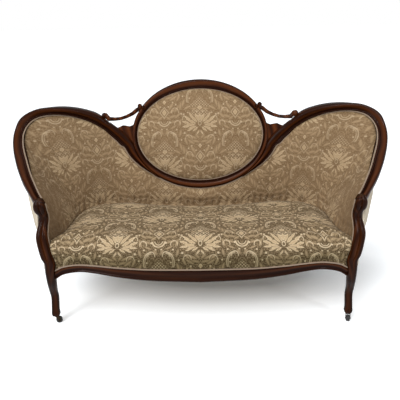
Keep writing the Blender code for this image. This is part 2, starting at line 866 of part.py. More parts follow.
def back_gap_point(station, z):
    """The middle of the space between the inside back's stuffing and the outside back's cover."""
    inside_foot = inside_point(station, SEAT_LEVEL_SHARE)
    inside_top = inside_point(station, 1)
    outside_foot = outside_point(station, OUTSIDE_RAIL_SHARE)
    outside_top = outside_point(station, 1)
    front = inside_foot.lerp(inside_top, (z - inside_foot.z) / (inside_top.z - inside_foot.z))
    back = outside_foot.lerp(outside_top, (z - outside_foot.z) / (outside_top.z - outside_foot.z))
    return Vector((back.x, (front.y + PAD_TOP_THICKNESS + back.y - COVER_THICKNESS) / 2, z))


def stay_rail_foot():
    """The stay rail's underside, so that its top bites into the medallion's lowest edge."""
    ring_foot = MEDALLION_Z - OVAL_HALF_HEIGHT * math.cos(RAKE) - MEDALLION_THICKNESS * math.sin(RAKE)
    return ring_foot + BITE - STAY_RAIL_HEIGHT


def stay_rail():
    low = stay_rail_foot()
    half = STAY_RAIL_THICKNESS / 2
    end = station_at(REAR_POST_SPREAD / 2)
    rings = []
    for station in both_sides(end, STAY_RAIL_STEPS):
        middle = back_gap_point(abs(station), low + STAY_RAIL_HEIGHT / 2)
        middle -= Vector((0, half, STAY_RAIL_HEIGHT / 2))
        if station < 0:
            middle.x = -middle.x
        rings.append([middle + Vector((0, y, z)) for y, z in section(half, STAY_RAIL_HEIGHT)])
    name = "stay_rail"
    return add_object(name, loft(name, rings), beech(name))


def section(half_width, height):
    return (-half_width, 0), (half_width, 0), (half_width, height), (-half_width, height)


def square_bar(name, start, end, width, thickness, finish):
    rings = []
    for middle in (start, end):
        corners = ((-width, -thickness), (width, -thickness), (width, thickness), (-width, thickness))
        rings.append([middle + Vector((x / 2, y / 2, 0)) for x, y in corners])
    return add_object(name, loft(name, rings), finish)


def centre_stile():
    rail_y = plan_point(FRAME_PLAN_SHARES, LAST_STATION, 0).y - SIDE_RAIL_THICKNESS / 2
    foot = Vector((0, rail_y, RAIL_TOP - BITE))
    top = back_gap_point(LAST_STATION, stay_rail_foot() + BITE)
    top.y -= STAY_RAIL_THICKNESS / 2
    return square_bar("centre_stile", foot, top, STILE_WIDTH, STAY_RAIL_THICKNESS, beech("centre_stile"))


def arm_stay():
    station = ARM_STAY_STATION
    foot = plan_point(FRAME_PLAN_SHARES, station, RAIL_TOP - BITE)
    foot -= plan_outward(FRAME_PLAN_SHARES, station) * (SIDE_RAIL_THICKNESS / 2)
    top = foot + (inside_back_point(station, ARM_STAY_TOP_SHARE) - foot) * ARM_STAY_REACH
    return square_bar("arm_stay_right", foot, top, ARM_STAY_SIZE, ARM_STAY_SIZE, beech("arm_stay_right"))


def bridge():
    outer, inner, face = rail_edges(BRIDGE_OUTER_STATION)
    away = (outer - inner).normalized()
    start = outer + away * (OUTER_KNOB_RADIUS - BITE / 2) - face * (RAIL_THICKNESS / 4)
    x, up = oval(BRIDGE_INNER_SHARE / 4, OVAL_HALF_WIDTH, OVAL_HALF_HEIGHT)
    away = Vector((x / OVAL_HALF_WIDTH**2, up / OVAL_HALF_HEIGHT**2)).normalized()
    away *= INNER_KNOB_RADIUS - BITE / 2
    end = on_medallion(x + away.x, up + away.y, -MEDALLION_THICKNESS / 4)
    span = end - start
    down = span.cross(RAKE_FRONT).normalized()
    if down.z > 0:
        down = -down
    points = []
    for along, sag, size in OUTER_KNOB_SHARES:
        place = start + span.normalized() * along * OUTER_KNOB_RADIUS + down * sag * OUTER_KNOB_RADIUS
        points.append((place, size * OUTER_KNOB_RADIUS))
    for along, sag, size in BRIDGE_SHARES:
        points.append((start + span * along + down * (sag * span.length), size * BRIDGE_RADIUS))
    for along, sag, size in INNER_KNOB_SHARES:
        place = end + span.normalized() * along * INNER_KNOB_RADIUS + down * sag * INNER_KNOB_RADIUS
        points.append((place, size * INNER_KNOB_RADIUS))
    return welded_tube("bridge_right", points, walnut("bridge_right"))


def welded_tube(name, points, finish, resolution=2):
    """A round bar through points, each with its own radius, made a mesh so that it can be cut."""
    bar = tube(name + "_curve", points, None, resolution)
    mesh = evaluated_mesh(bar)
    bpy.data.objects.remove(bar, do_unlink=True)
    bm = bmesh.new()
    bm.from_mesh(mesh)
    bmesh.ops.remove_doubles(bm, verts=bm.verts, dist=CLEARANCE * MERGE_SHARE)
    made = mesh_from(name, bm)
    made.materials.clear()
    return add_object(name, made, finish)


def tube(name, points, finish, resolution):
    curve = bpy.data.curves.new(name, "CURVE")
    curve.dimensions = "3D"
    curve.bevel_depth = 1.0
    curve.bevel_resolution = resolution
    curve.use_fill_caps = True
    spline = curve.splines.new("POLY")
    spline.points.add(len(points) - 1)
    for point, (place, radius) in zip(spline.points, points):
        point.co = (*place, 1)
        point.radius = radius
    return add_object(name, curve, finish)


def spandrel():
    x, up = oval(SPANDREL_INNER_SHARE / 4, OVAL_HALF_WIDTH, OVAL_HALF_HEIGHT)
    start = Vector((x - BITE, up, 0))
    corner = in_medallion_plane(rail_edges(SPANDREL_OUTER_STATION)[0])
    span = corner - start
    down = Vector((span.y, -span.x, 0))
    outline = [start + span * along + down * drop for along, drop in SCALLOP_SHARES]
    for station in steps(SPANDREL_OUTER_STATION, SPANDREL_LAST_STATION, SPANDREL_STEPS)[1:]:
        outer, inner, _ = rail_edges(station)
        outline.append(in_medallion_plane(outer.lerp(inner, SPANDREL_LAP_SHARE)))
    for share in SPANDREL_OVAL_SHARES:
        x, up = oval(share / 4, OVAL_HALF_WIDTH - BITE, OVAL_HALF_HEIGHT - BITE)
        outline.append(Vector((x, up, 0)))
    rings = []
    for out in (-SPANDREL_RECESS, -SPANDREL_RECESS - SPANDREL_THICKNESS):
        rings.append([on_medallion(p.x, p.y, out) for p in outline])
    return add_object("spandrel_right", loft("spandrel_right", rings), walnut("spandrel_right"))


def in_medallion_plane(point):
    offset = point - Vector((0, MEDALLION_Y, MEDALLION_Z))
    return Vector((point.x, offset.dot(RAKE_UP), 0))


def inside_point(station, share):
    """The cloth's inner face: straight up from the deck, then out to the rail's inner edge."""
    outer, inner, face = rail_edges(station)
    across = outer - inner
    if across.length > BITE:
        edge = inner + across.normalized() * BITE
    else:
        edge = inner + RAKE_UP * BITE
    foot = plan_point(SEAT_PLAN_SHARES, station, SEAT_HEIGHT)
    if share <= 0:
        foot.z = RAIL_TOP + DECK_THICKNESS + 2 * CLEARANCE
        return towards_post(foot, station)
    swell = math.sin(math.pi * share) * PAD_FULLNESS
    return towards_post(foot.lerp(edge - face * PAD_RECESS, share) + face * swell, station)


def inside_back_point(station, share):
    """The back of the stuffing, on the way from the cloth to the outside cover."""
    front = inside_point(station, share)
    way = outside_point(station, max(share, 0)) - front
    way.z *= max(share, 0)
    thickness = PAD_THICKNESS + (PAD_TOP_THICKNESS - PAD_THICKNESS) * max(share, 0)
    return front + way.normalized() * thickness


def outside_point(station, share):
    """The outside cover's outer face, from the seat rail up to the back of the wing rail."""
    outer, inner, face = rail_edges(station)
    lap = inner.lerp(outer, OUTSIDE_LAP_SHARE)
    if station >= RAIL_LAST_STATION - 1:
        lap = inner + RAKE_UP * (MEDALLION_SIDE_BAND / 2)
    top = lap - face * (RAIL_THICKNESS + CLEARANCE + COVER_THICKNESS)
    foot = plan_point(FRAME_PLAN_SHARES, station, RAIL_UNDERSIDE)
    outward = plan_outward(FRAME_PLAN_SHARES, station)
    foot = foot + outward * (COVER_THICKNESS - CLEARANCE)
    if share < OUTSIDE_RAIL_SHARE:
        foot.z += (RAIL_TOP + BITE - RAIL_UNDERSIDE) * share / OUTSIDE_RAIL_SHARE
        return towards_post(foot, station)
    foot.z = RAIL_TOP + BITE
    rise = (share - OUTSIDE_RAIL_SHARE) / (1 - OUTSIDE_RAIL_SHARE)
    swell = math.sin(math.pi * rise) * COVER_FULLNESS
    return towards_post(foot.lerp(top, rise) + outward * swell, station)


def plan_outward(rows, station):
    ahead = plan_point(rows, min(station + STATION_STEP, LAST_STATION), 0)
    behind = plan_point(rows, max(station - STATION_STEP, 0), 0)
    return (ahead - behind).cross(Vector((0, 0, 1))).normalized()


def grid(point_at, heights, stations):
    """Rows of points over stations; the far side of the settee has negative ones."""
    rows = []
    for share in heights:
        row = []
        for station in stations:
            point = point_at(abs(station), share)
            if station < 0:
                point.x = -point.x
            row.append(point)
        rows.append(row)
    return rows


def inside_pad(name, stations):
    """Stuffing between the cloth's face and the frame, closed round its four edges."""
    front = grid(inside_point, INSIDE_HEIGHT_SHARES, stations)
    back = grid(inside_back_point, INSIDE_HEIGHT_SHARES, stations)
    rings = []
    for front_row, back_row in zip(front, back):
        rings.append(front_row + back_row[::-1])
    return add_object(name, loft(name, rings), damask(name))


def outside_cover(name, stations):
    rows = grid(outside_point, OUTSIDE_HEIGHT_SHARES, stations)
    cover = add_object(name, open_sheet(name, rows), damask(name))
    return thicken(cover, COVER_THICKNESS)


def both_sides(first, count):
    """Stations from one side's seam, round the middle of the back, to the other side's."""
    right = steps(first, LAST_STATION, count)
    return right + [-s for s in reversed(right[:-1])]


def thicken(obj, thickness):
    shell = obj.modifiers.new("thickness", "SOLIDIFY")
    shell.thickness = thickness
    shell.offset = -1
    shell.use_even_offset = True
    return obj


def oval_stack(name, levels):
    """A piece inside the medallion's sight edge: how far each ring reaches and stands out."""
    rings = []
    for scale, out in levels:
        ring = []
        for i in range(OVAL_SIDES):
            x, up = inner_oval(i / OVAL_SIDES, 2 * CLEARANCE)
            ring.append(on_medallion(x * scale, up * scale, out))
        rings.append(ring)
    return add_object(name, loft(name, rings), damask(name))


def medallion_pad():
    levels = [(1, PAD_RECESS - MEDALLION_THICKNESS), (1, -PAD_RECESS)]
    levels += [(scale, crown * MEDALLION_CROWN) for scale, crown in MEDALLION_CROWN_SHARES]
    return oval_stack("medallion_pad", levels)


def medallion_back():
    """The outside cover behind the medallion, tacked round the inside of the ring's back."""
    front = PAD_RECESS - 2 * CLEARANCE - MEDALLION_THICKNESS
    edge = COVER_THICKNESS * BACK_EDGE_SHARE - MEDALLION_THICKNESS
    crown = -COVER_THICKNESS * BACK_CROWN_SHARE - MEDALLION_THICKNESS
    return oval_stack("medallion_back", [(1, front), (1, edge), (BACK_FLAT_SHARE, crown)])


def front_face(x):
    """The front of the show band at this distance from the middle."""
    return FRONT_Y + ROLL_OVERHANG + curve_at(FRONT_RAIL_SHARES, min(abs(x) / ARM_X, 1))[0] * FRONT_BOW


def band_top(x):
    _, rise, band = curve_at(FRONT_RAIL_SHARES, min(abs(x) / ARM_X, 1))
    return FRONT_RAIL_FOOT + rise * FRONT_ARCH + band * SHOW_BAND_HEIGHT


def seat_outline():
    """Half the seat's outline from the front's middle, with how much each point is on the front."""
    corner_x = ARM_X - POST_WIDTH / 2 + BITE / 2
    half = [(Vector((x * corner_x, front_face(x * corner_x), 0)), 1.0) for x in SEAT_FRONT_SHARES]
    half.append((Vector((corner_x, front_face(corner_x) + BITE, 0)), 1.0))
    for station in SEAT_SIDE_STATIONS:
        point = plan_point(SEAT_PLAN_SHARES, station, 0)
        half.append((point + plan_outward(SEAT_PLAN_SHARES, station) * (BITE / 2), 0.0))
    return half


def seat_levels(deck):
    """Rings up the seat's edge: inset at the front and at the sides, then the height of each.

    A height of None follows the top of the front rail's show band.
    """
    tuck = TACKING_SETBACK - CLEARANCE
    fall = SEAT_LIP_FALL
    return (
        (tuck, 2 * BITE, deck + fall / 4, deck + fall / 4),
        (tuck, 2 * BITE, None, deck),
        (BITE / 4, BITE, None, deck),
        (-ROLL_OVERHANG / 2, 0, RAIL_TOP, deck + fall / 2),
        (-ROLL_OVERHANG, 0, SEAT_HEIGHT - 2 * fall, SEAT_HEIGHT - 2 * fall),
        (-ROLL_OVERHANG / 3, 0, SEAT_HEIGHT - fall / 2, SEAT_HEIGHT - fall),
    )


def seat_pad():
    half = seat_outline()
    whole = half + [(Vector((-p.x, p.y, 0)), f) for p, f in reversed(half[1:-1])]
    points = [p for p, _ in whole]
    count = len(points)
    inward = []
    for i in range(count):
        along = points[(i + 1) % count] - points[i - 1]
        inward.append(Vector((0, 0, 1)).cross(along).normalized())
    deck = RAIL_TOP + DECK_THICKNESS + 2 * CLEARANCE
    heart = Vector((0, FRONT_Y + DEPTH * SEAT_HEART_SHARE, 0))
    rings = []
    corner_x = max(p.x for p in points)
    for front_inset, side_inset, front_z, side_z in seat_levels(deck):
        ring = []
        for (point, on_front), normal in zip(whole, inward):
            inset = side_inset + (front_inset - side_inset) * on_front
            if abs(point.x) > corner_x - CLEARANCE:
                inset *= SEAT_CORNER_SHARE
            z = side_z
            if on_front:
                z = front_z if front_z is not None else band_top(point.x) + 3 * CLEARANCE
            place = point + normal * inset
            ring.append(Vector((place.x, place.y, z)))
        rings.append(ring)
    for shrink, rise in SEAT_CROWN_SHARES:
        ring = []
        for (point, on_front), normal in zip(whole, inward):
            place = point.lerp(Vector((point.x * SEAT_RIDGE_SHARE, heart.y, 0)), shrink)
            ring.append(Vector((place.x, place.y, SEAT_HEIGHT + rise * SEAT_CROWN)))
        rings.append(ring)
    return add_object("seat_pad", loft("seat_pad", rings), damask("seat_pad"))


def frame_outline(inset, front_inset):
    """Plan of the seat frame as one closed outline, pulled in from the rails' outer faces."""
    half = []
    for share in SEAT_FRONT_SHARES:
        x = share * (ARM_X - POST_WIDTH)
        half.append(Vector((x, front_face(x) + front_inset, 0)))
    for station in FRAME_SIDE_STATIONS:
        point = plan_point(FRAME_PLAN_SHARES, station, 0)
        half.append(point - plan_outward(FRAME_PLAN_SHARES, station) * inset)
    return half + [Vector((-p.x, p.y, 0)) for p in reversed(half[1:-1])]


def flat_panel(name, outline, low, thickness, finish):
    rings = [[Vector((p.x, p.y, z)) for p in outline] for z in (low, low + thickness)]
    return add_object(name, loft(name, rings), finish)


def spring_places():
    front = front_face(0) + FRONT_RAIL_DEPTH
    back = plan_point(FRAME_PLAN_SHARES, LAST_STATION, 0).y - SIDE_RAIL_THICKNESS
    xs = [SPRING_PITCH * (i - (SPRINGS_IN_ROW - 1) / 2) for i in range(SPRINGS_IN_ROW)]
    ys = [front + (back - front) * (i + 1) / (SPRING_ROWS + 1) for i in range(SPRING_ROWS)]
    return xs, ys


def webbing():
    """Woven straps under the seat rails, crossing under each spring."""
    xs, ys = spring_places()
    top = RAIL_UNDERSIDE - CLEARANCE
    middle = top - WEB_THICKNESS / 2
    name = "seat_webbing"
    straps = []
    for x in xs:
        start = front_face(x) + TACKING_SETBACK + 2 * BITE
        end = plan_point(FRAME_PLAN_SHARES, plan_station(x), 0).y - SIDE_RAIL_THICKNESS / 3
        straps.append(box(name, (x, (start + end) / 2, middle), (WEB_WIDTH, end - start, WEB_THICKNESS)))
    for y in ys:
        reach = side_reach(y) - SIDE_RAIL_THICKNESS / 3
        straps.append(box(name, (0, y, middle), (2 * reach, WEB_WIDTH, WEB_THICKNESS)))
    made = straps[0]
    for strap in straps[1:]:
        move_to_cutters(strap)
        boolean(made, strap, "UNION")
    made.name = name
    made.data.materials.append(hessian(name))
    return made


def plan_station(x):
    return station_at(abs(x)) if abs(x) > CLEARANCE else LAST_STATION


def side_reach(y):
    """How far the frame's plan reaches to the side at this depth."""
    low, high = 0, SEAM_STATION
    for _ in range(PLAN_HALVINGS):
        middle = (low + high) / 2
        if plan_point(FRAME_PLAN_SHARES, middle, 0).y < y:
            low = middle
        else:
            high = middle
    return plan_point(FRAME_PLAN_SHARES, low, 0).x


def box(name, centre, size):
    bm = bmesh.new()
    bmesh.ops.create_cube(bm, size=1)
    bmesh.ops.scale(bm, vec=size, verts=bm.verts)
    bmesh.ops.translate(bm, vec=centre, verts=bm.verts)
    return add_object(name, mesh_from(name, bm), None)


def cylinder(name, radius, low, high, sides):
    bm = bmesh.new()
    place = Matrix.Translation((0, 0, (low + high) / 2))
    bmesh.ops.create_cone(
        bm, cap_ends=True, segments=sides, radius1=radius, radius2=radius, depth=high - low, matrix=place
    )
    return add_object(name, mesh_from(name, bm), None)


def move_to_cutters(obj):
    for group in list(obj.users_collection):
        group.objects.unlink(obj)
    CUTTERS.objects.link(obj)
    return hidden(obj)


def coil_spring(name, x, y):
    low = RAIL_UNDERSIDE + SPRING_WIRE + CLEARANCE
    high = RAIL_TOP - SPRING_WIRE
    count = round(SPRING_TURNS * SPRING_STEPS)
    points = []
    for i in range(count + 1):
        share = i / count
        angle = math.tau * SPRING_TURNS * share
        radius = SPRING_WAIST + (SPRING_RADIUS - SPRING_WAIST) * (2 * share - 1) ** 2
        climb = (share * SPRING_TURNS - SPRING_FLAT_TURN) / (SPRING_TURNS - 2 * SPRING_FLAT_TURN)
        z = low + (high - low) * min(max(climb, 0), 1)
        place = Vector((x + radius * math.cos(angle), y + radius * math.sin(angle), z))
        points.append((place, SPRING_WIRE))
    return tube(name, points, dark_metal(name), 0)


def turned(name, profile, sides, finish, closed):
    """A turned piece: radius and height along its outline, swept once round its own Z axis."""
    bm = bmesh.new()
    verts = [bm.verts.new((r, 0, z)) for r, z in profile]
    for a, b in zip(verts, verts[1:]):
        bm.edges.new((a, b))
    if closed:
        bm.edges.new((verts[-1], verts[0]))
    mesh = bpy.data.meshes.new(name)
    bm.to_mesh(mesh)
    bm.free()
    obj = add_object(name, mesh, finish)
    turn = obj.modifiers.new("turning", "SCREW")
    turn.steps = sides
    turn.render_steps = sides
    turn.use_merge_vertices = True
    turn.merge_threshold = CLEARANCE * MERGE_SHARE
    return obj


def caster_fork():
    """The forks' shape: a crown on a stem, with a cheek on each side of the wheel."""
    crown_top = CASTER_HEIGHT - CLEARANCE - SOCKET_FLANGE_THICKNESS - SWIVEL_GAP
    crown_foot = crown_top - CROWN_THICKNESS
    cheek_out = WHEEL_WIDTH / 2 + CHEEK_GAP + CHEEK_THICKNESS
    crown_x = CASTER_TRAIL - CROWN_LENGTH / 2
    crown_size = (CROWN_LENGTH, 2 * cheek_out, CROWN_THICKNESS)
    fork = move_to_cutters(box("caster_fork", (crown_x, 0, (crown_top + crown_foot) / 2), crown_size))
    stem_top = CASTER_HEIGHT + STEM_LENGTH
    stem = cylinder("caster_stem", STEM_RADIUS, crown_foot + CLEARANCE, stem_top, ROUND_SIDES)
    boolean(fork, move_to_cutters(stem), "UNION")
    for side in (-1, 1):
        outline = [
            (CASTER_TRAIL - CROWN_LENGTH + CLEARANCE, crown_top - CLEARANCE),
            (CASTER_TRAIL - CLEARANCE, crown_top - CLEARANCE),
        ]
        for share in CHEEK_ARC_SHARES:
            angle = share * math.pi / 2
            along = CASTER_TRAIL + CHEEK_BOSS_RADIUS * math.cos(angle)
            outline.append((along, WHEEL_RADIUS + CHEEK_BOSS_RADIUS * math.sin(angle)))
        rings = []
        for out in (cheek_out - CHEEK_THICKNESS, cheek_out - CLEARANCE / 2):
            rings.append([Vector((x, side * out, z)) for x, z in outline])
        cheek = add_object("cheek_" + str(side), loft("cheek", rings), None)
        boolean(fork, move_to_cutters(cheek), "UNION")
    hole = cylinder("axle_hole", AXLE_BORE_RADIUS, -2 * cheek_out, 2 * cheek_out, ROUND_SIDES)
    hole.rotation_euler = (math.pi / 2, 0, 0)
    hole.location = (CASTER_TRAIL, 0, WHEEL_RADIUS)
    boolean(fork, move_to_cutters(hole), "DIFFERENCE")
    return in_triangles(evaluated_mesh(fork))


def in_triangles(mesh):
    bm = bmesh.new()
    bm.from_mesh(mesh)
    bmesh.ops.triangulate(bm, faces=bm.faces)
    bm.to_mesh(mesh)
    bm.free()
    return mesh


def caster(name, x, y, heading, fork_shape):
    """A swivelling caster: socket in the leg, fork on its stem, axle and wheel."""
    swivel = bpy.data.objects.new("caster_" + name + "_swivel", None)
    PARTS.objects.link(swivel)
    swivel.location = (x, y, 0)
    swivel.rotation_euler = (0, 0, heading)
    flange_top = CASTER_HEIGHT - CLEARANCE
    flange_foot = flange_top - SOCKET_FLANGE_THICKNESS
    sleeve_top = CASTER_HEIGHT + SOCKET_DEPTH
    profile = (
        (SOCKET_SLEEVE_RADIUS, sleeve_top),
        (SOCKET_SLEEVE_RADIUS, flange_top),
        (SOCKET_FLANGE_RADIUS, flange_top),
        (SOCKET_FLANGE_RADIUS, flange_foot),
        (SOCKET_BORE_RADIUS, flange_foot),
        (SOCKET_BORE_RADIUS, sleeve_top),
    )
    metal = dark_metal("caster_socket_" + name)
    socket = turned("caster_socket_" + name, profile, ROUND_SIDES, metal, True)
    socket.location = (x, y, 0)

    fork = add_object("caster_fork_" + name, fork_shape.copy(), dark_metal("caster_fork_" + name))
    fork.parent = swivel

    cheek_out = WHEEL_WIDTH / 2 + CHEEK_GAP + CHEEK_THICKNESS
    shank = cheek_out + CLEARANCE
    axle = turned(
        "caster_axle_" + name,
        (
            (0, shank + AXLE_HEAD_THICKNESS),
            (AXLE_HEAD_RADIUS, shank + AXLE_HEAD_THICKNESS),
            (AXLE_HEAD_RADIUS, shank),
            (AXLE_RADIUS, shank),
            (AXLE_RADIUS, -shank),
            (AXLE_HEAD_RADIUS, -shank),
            (AXLE_HEAD_RADIUS, -shank - AXLE_HEAD_THICKNESS),
            (0, -shank - AXLE_HEAD_THICKNESS),
        ),
        ROUND_SIDES,
        dark_metal("caster_axle_" + name),
        False,
    )
    half = WHEEL_WIDTH / 2
    tread = WHEEL_RADIUS / math.cos(math.pi / WHEEL_SIDES)
    wheel = turned(
        "caster_wheel_" + name,
        (
            (tread - WHEEL_ROUNDING, half),
            (tread, half - WHEEL_ROUNDING),
            (tread, WHEEL_ROUNDING - half),
            (tread - WHEEL_ROUNDING, -half),
            (AXLE_BORE_RADIUS, -half),
            (AXLE_BORE_RADIUS, half),
        ),
        WHEEL_SIDES,
        material("caster_wheel_" + name, COMPOSITION, WORN),
        True,
    )
    for piece in (axle, wheel):
        piece.rotation_euler = (math.pi / 2, 0, 0)
        piece.location = (CASTER_TRAIL, 0, WHEEL_RADIUS)
        piece.parent = swivel
    return socket


def bore_foot(post, x, y):
    """The blind hole in a leg's foot for its caster's sleeve."""
    name = post.name + "_foot_bore"
    depth = SOCKET_DEPTH + 2 * CLEARANCE
    hole = cylinder(name, SOCKET_SLEEVE_RADIUS + CLEARANCE, -depth, depth, ROUND_SIDES)
    hole.location = (x, y, CASTER_HEIGHT)
    boolean(post, move_to_cutters(hole), "DIFFERENCE")


def show_wood():
    """The polished frame, right side first; each left piece is the mirror of a right one."""
    post = front_post()
    bore_foot(post, *FRONT_FOOT)
    mirrored(post)
    medallion = medallion_frame()
    rail = wing_rail()
    carve(rail, post, medallion)
    mirrored(rail)
    web = spandrel()
    carve(web, medallion, rail)
    mirrored(web)
    bar = bridge()
    carve(bar, medallion, rail)
    mirrored(bar)
    rear = rear_post()
    carve(rear, rail)
    bore_foot(rear, *rear_foot_place())
    mirrored(rear)
    carve(front_seat_rail(), *both("front_post"))


def hidden_frame(arm_stations, back_stations):
    """Plain rails and stays that the upholstery covers."""
    corner = station_at(REAR_POST_SPREAD / 2)
    side_stations = [SIDE_RAIL_START] + arm_stations[1:]
    side_stations += [station for station in back_stations if 0 < station < corner] + [corner]
    side = rail_along("side_seat_rail_right", side_stations, beech("side_seat_rail_right"))
    carve(side, *pieces("front_post_right", "front_seat_rail", "rear_post_right"))
    mirrored(side)
    inner_stations = [station for station in back_stations if abs(station) > corner]
    back = rail_along("back_seat_rail", [corner] + inner_stations + [-corner], beech("back_seat_rail"))
    carve(back, *both("rear_post"))
    stay = stay_rail()
    carve(stay, *both("rear_post"), *pieces("medallion_frame"))
    carve(centre_stile(), back, stay)
    bar = arm_stay()
    carve(bar, side, *pieces("wing_rail_right"))
    mirrored(bar)


def springing():
    """Webbing, coil springs and the cloths over and under them."""
    webbing()
    xs, ys = spring_places()
    places = [(x, y) for y in ys for x in xs]
    for number, (x, y) in enumerate(places, 1):
        coil_spring(f"seat_spring_{number}", x, y)
    tacking_lap = SIDE_RAIL_THICKNESS / 3
    outline = frame_outline(tacking_lap, FRONT_RAIL_DEPTH / 2)
    deck = flat_panel("spring_deck", outline, RAIL_TOP + CLEARANCE, DECK_THICKNESS, hessian("spring_deck"))
    carve(deck, *both("rear_post"), *both("arm_stay"), *both("front_post"), *pieces("centre_stile"))
    low = RAIL_UNDERSIDE - DUST_COVER_DROP - DUST_COVER_THICKNESS
    outline = frame_outline(tacking_lap, TACKING_SETBACK + 2 * BITE)
    dust = flat_panel("dust_cover", outline, low, DUST_COVER_THICKNESS, hessian("dust_cover"))
    carve(dust, *both("rear_post"), *both("front_post"), *pieces("front_seat_rail"))


def upholstery(arm_stations, back_stations):
    """Outside covers, inside pads, the medallion's pad and back, and the seat."""
    outside_arm = outside_cover("outside_arm_right", arm_stations)
    carve(
        outside_arm,
        *pieces("wing_rail_right", "front_post_right", "side_seat_rail_right", "front_seat_rail"),
    )
    mirrored(outside_arm)
    inside_arm = inside_pad("inside_arm_right", arm_stations)
    carve(
        inside_arm,
        *pieces("wing_rail_right", "front_post_right", "arm_stay_right", "rear_post_right"),
        outside_arm,
    )
    mirrored(inside_arm)
    inside_back = inside_pad("inside_back", both_sides(SEAM_STATION + SEAM_GAP_SHARE, INSIDE_COLUMNS))
    carve(
        inside_back,
        *both("wing_rail"),
        *both("rear_post"),
        *pieces("medallion_frame", "stay_rail", "centre_stile"),
    )
    outside_back = outside_cover("outside_back", back_stations)
    carve(
        outside_back,
        *both("wing_rail"),
        *both("rear_post"),
        *both("side_seat_rail"),
        *both("outside_arm"),
        *pieces("medallion_frame", "back_seat_rail"),
    )
    medallion_pad()
    medallion_back()
    carve(seat_pad(), *both("front_post"), *both("inside_arm"), *pieces("front_seat_rail", "inside_back"))


def casters():
    fork_shape = caster_fork()
    for name, is_front, side_sign, heading in CASTERS:
        x, y = FRONT_FOOT if is_front else rear_foot_place()
        caster(name, side_sign * x, y, heading, fork_shape)


def pieces(*names):
    return [PARTS.objects[name] for name in names]


def both(name):
    return pieces(name + "_right", name + "_left")


def build():
    clear_scene()
    make_collections()
    arm_stations = steps(0, SEAM_STATION - SEAM_GAP_SHARE, ARM_COLUMNS)
    back_stations = both_sides(SEAM_STATION + SEAM_GAP_SHARE, BACK_COLUMNS)
    show_wood()
    hidden_frame(arm_stations, back_stations)
    springing()
    upholstery(arm_stations, back_stations)
    casters()


build()
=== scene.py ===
"""Looks of the medallion-back settee, laid out as a Blender add-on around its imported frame."""

import math

import bmesh
import bpy
import numpy as np
from mathutils import Matrix, Vector
from mathutils.bvhtree import BVHTree


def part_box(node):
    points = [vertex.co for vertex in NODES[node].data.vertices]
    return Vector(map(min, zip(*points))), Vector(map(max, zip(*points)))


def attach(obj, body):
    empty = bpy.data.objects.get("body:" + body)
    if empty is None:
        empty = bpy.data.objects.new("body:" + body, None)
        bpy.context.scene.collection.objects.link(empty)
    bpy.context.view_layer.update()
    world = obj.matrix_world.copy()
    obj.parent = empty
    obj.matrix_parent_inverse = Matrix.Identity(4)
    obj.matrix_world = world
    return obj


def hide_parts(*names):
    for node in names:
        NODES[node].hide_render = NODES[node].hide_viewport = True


bl_info = {
    "name": "Medallion-back settee",
    "version": (1, 0, 0),
    "blender": (4, 5, 0),
    "location": "3D View > Sidebar > Settee",
    "description": "Show wood, damask upholstery, gimp and casters of a medallion-back settee",
    "category": "Object",
}

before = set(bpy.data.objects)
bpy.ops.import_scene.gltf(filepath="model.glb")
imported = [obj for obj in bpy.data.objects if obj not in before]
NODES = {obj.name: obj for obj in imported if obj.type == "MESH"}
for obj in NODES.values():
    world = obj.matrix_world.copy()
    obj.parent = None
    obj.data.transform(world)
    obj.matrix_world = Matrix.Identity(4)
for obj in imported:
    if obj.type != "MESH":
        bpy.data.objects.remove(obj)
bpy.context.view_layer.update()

# Sizes shared with the frame
WIDTH = 1.71
DEPTH = 0.740
HEIGHT = 1.00
HALF_WIDTH = WIDTH / 2
FRONT_Y = -DEPTH / 2
FOOT_Y = FRONT_Y + DEPTH * 0.162
ARM_X = WIDTH * 0.779 / 2
ARM_HEIGHT = HEIGHT * 0.565
LOBE_HEIGHT = HEIGHT * 0.895
RAIL_THICKNESS = 0.036
MOULDING_RISE = 0.008
OVAL_HALF_WIDTH = WIDTH * 0.387 / 2
OVAL_HALF_HEIGHT = HEIGHT * 0.534 / 2
SIDE_BAND = 0.023
CREST_BAND = 0.046
FOOT_BAND = 0.040
RAKE = math.radians(16.0)
RAKE_UP = Vector((0, math.sin(RAKE), math.cos(RAKE)))
RAKE_FRONT = Vector((0, -math.cos(RAKE), math.sin(RAKE)))
MEDALLION_Y = DEPTH / 2 - OVAL_HALF_HEIGHT * math.sin(RAKE) - RAIL_THICKNESS * math.cos(RAKE)
MEDALLION_Z = HEIGHT - OVAL_HALF_HEIGHT * math.cos(RAKE)
BACK_DEPTH = MEDALLION_Y - FOOT_Y
PAD_RECESS = 0.010
SEAT_HEIGHT = HEIGHT * 0.400
RAIL_TOP = HEIGHT * 0.345
ROLL_OVERHANG = 0.008
FRONT_BOW = DEPTH * 0.081
FRONT_RAIL_FOOT = HEIGHT * 0.237
FRONT_ARCH = 0.036
SHOW_BAND_HEIGHT = 0.057

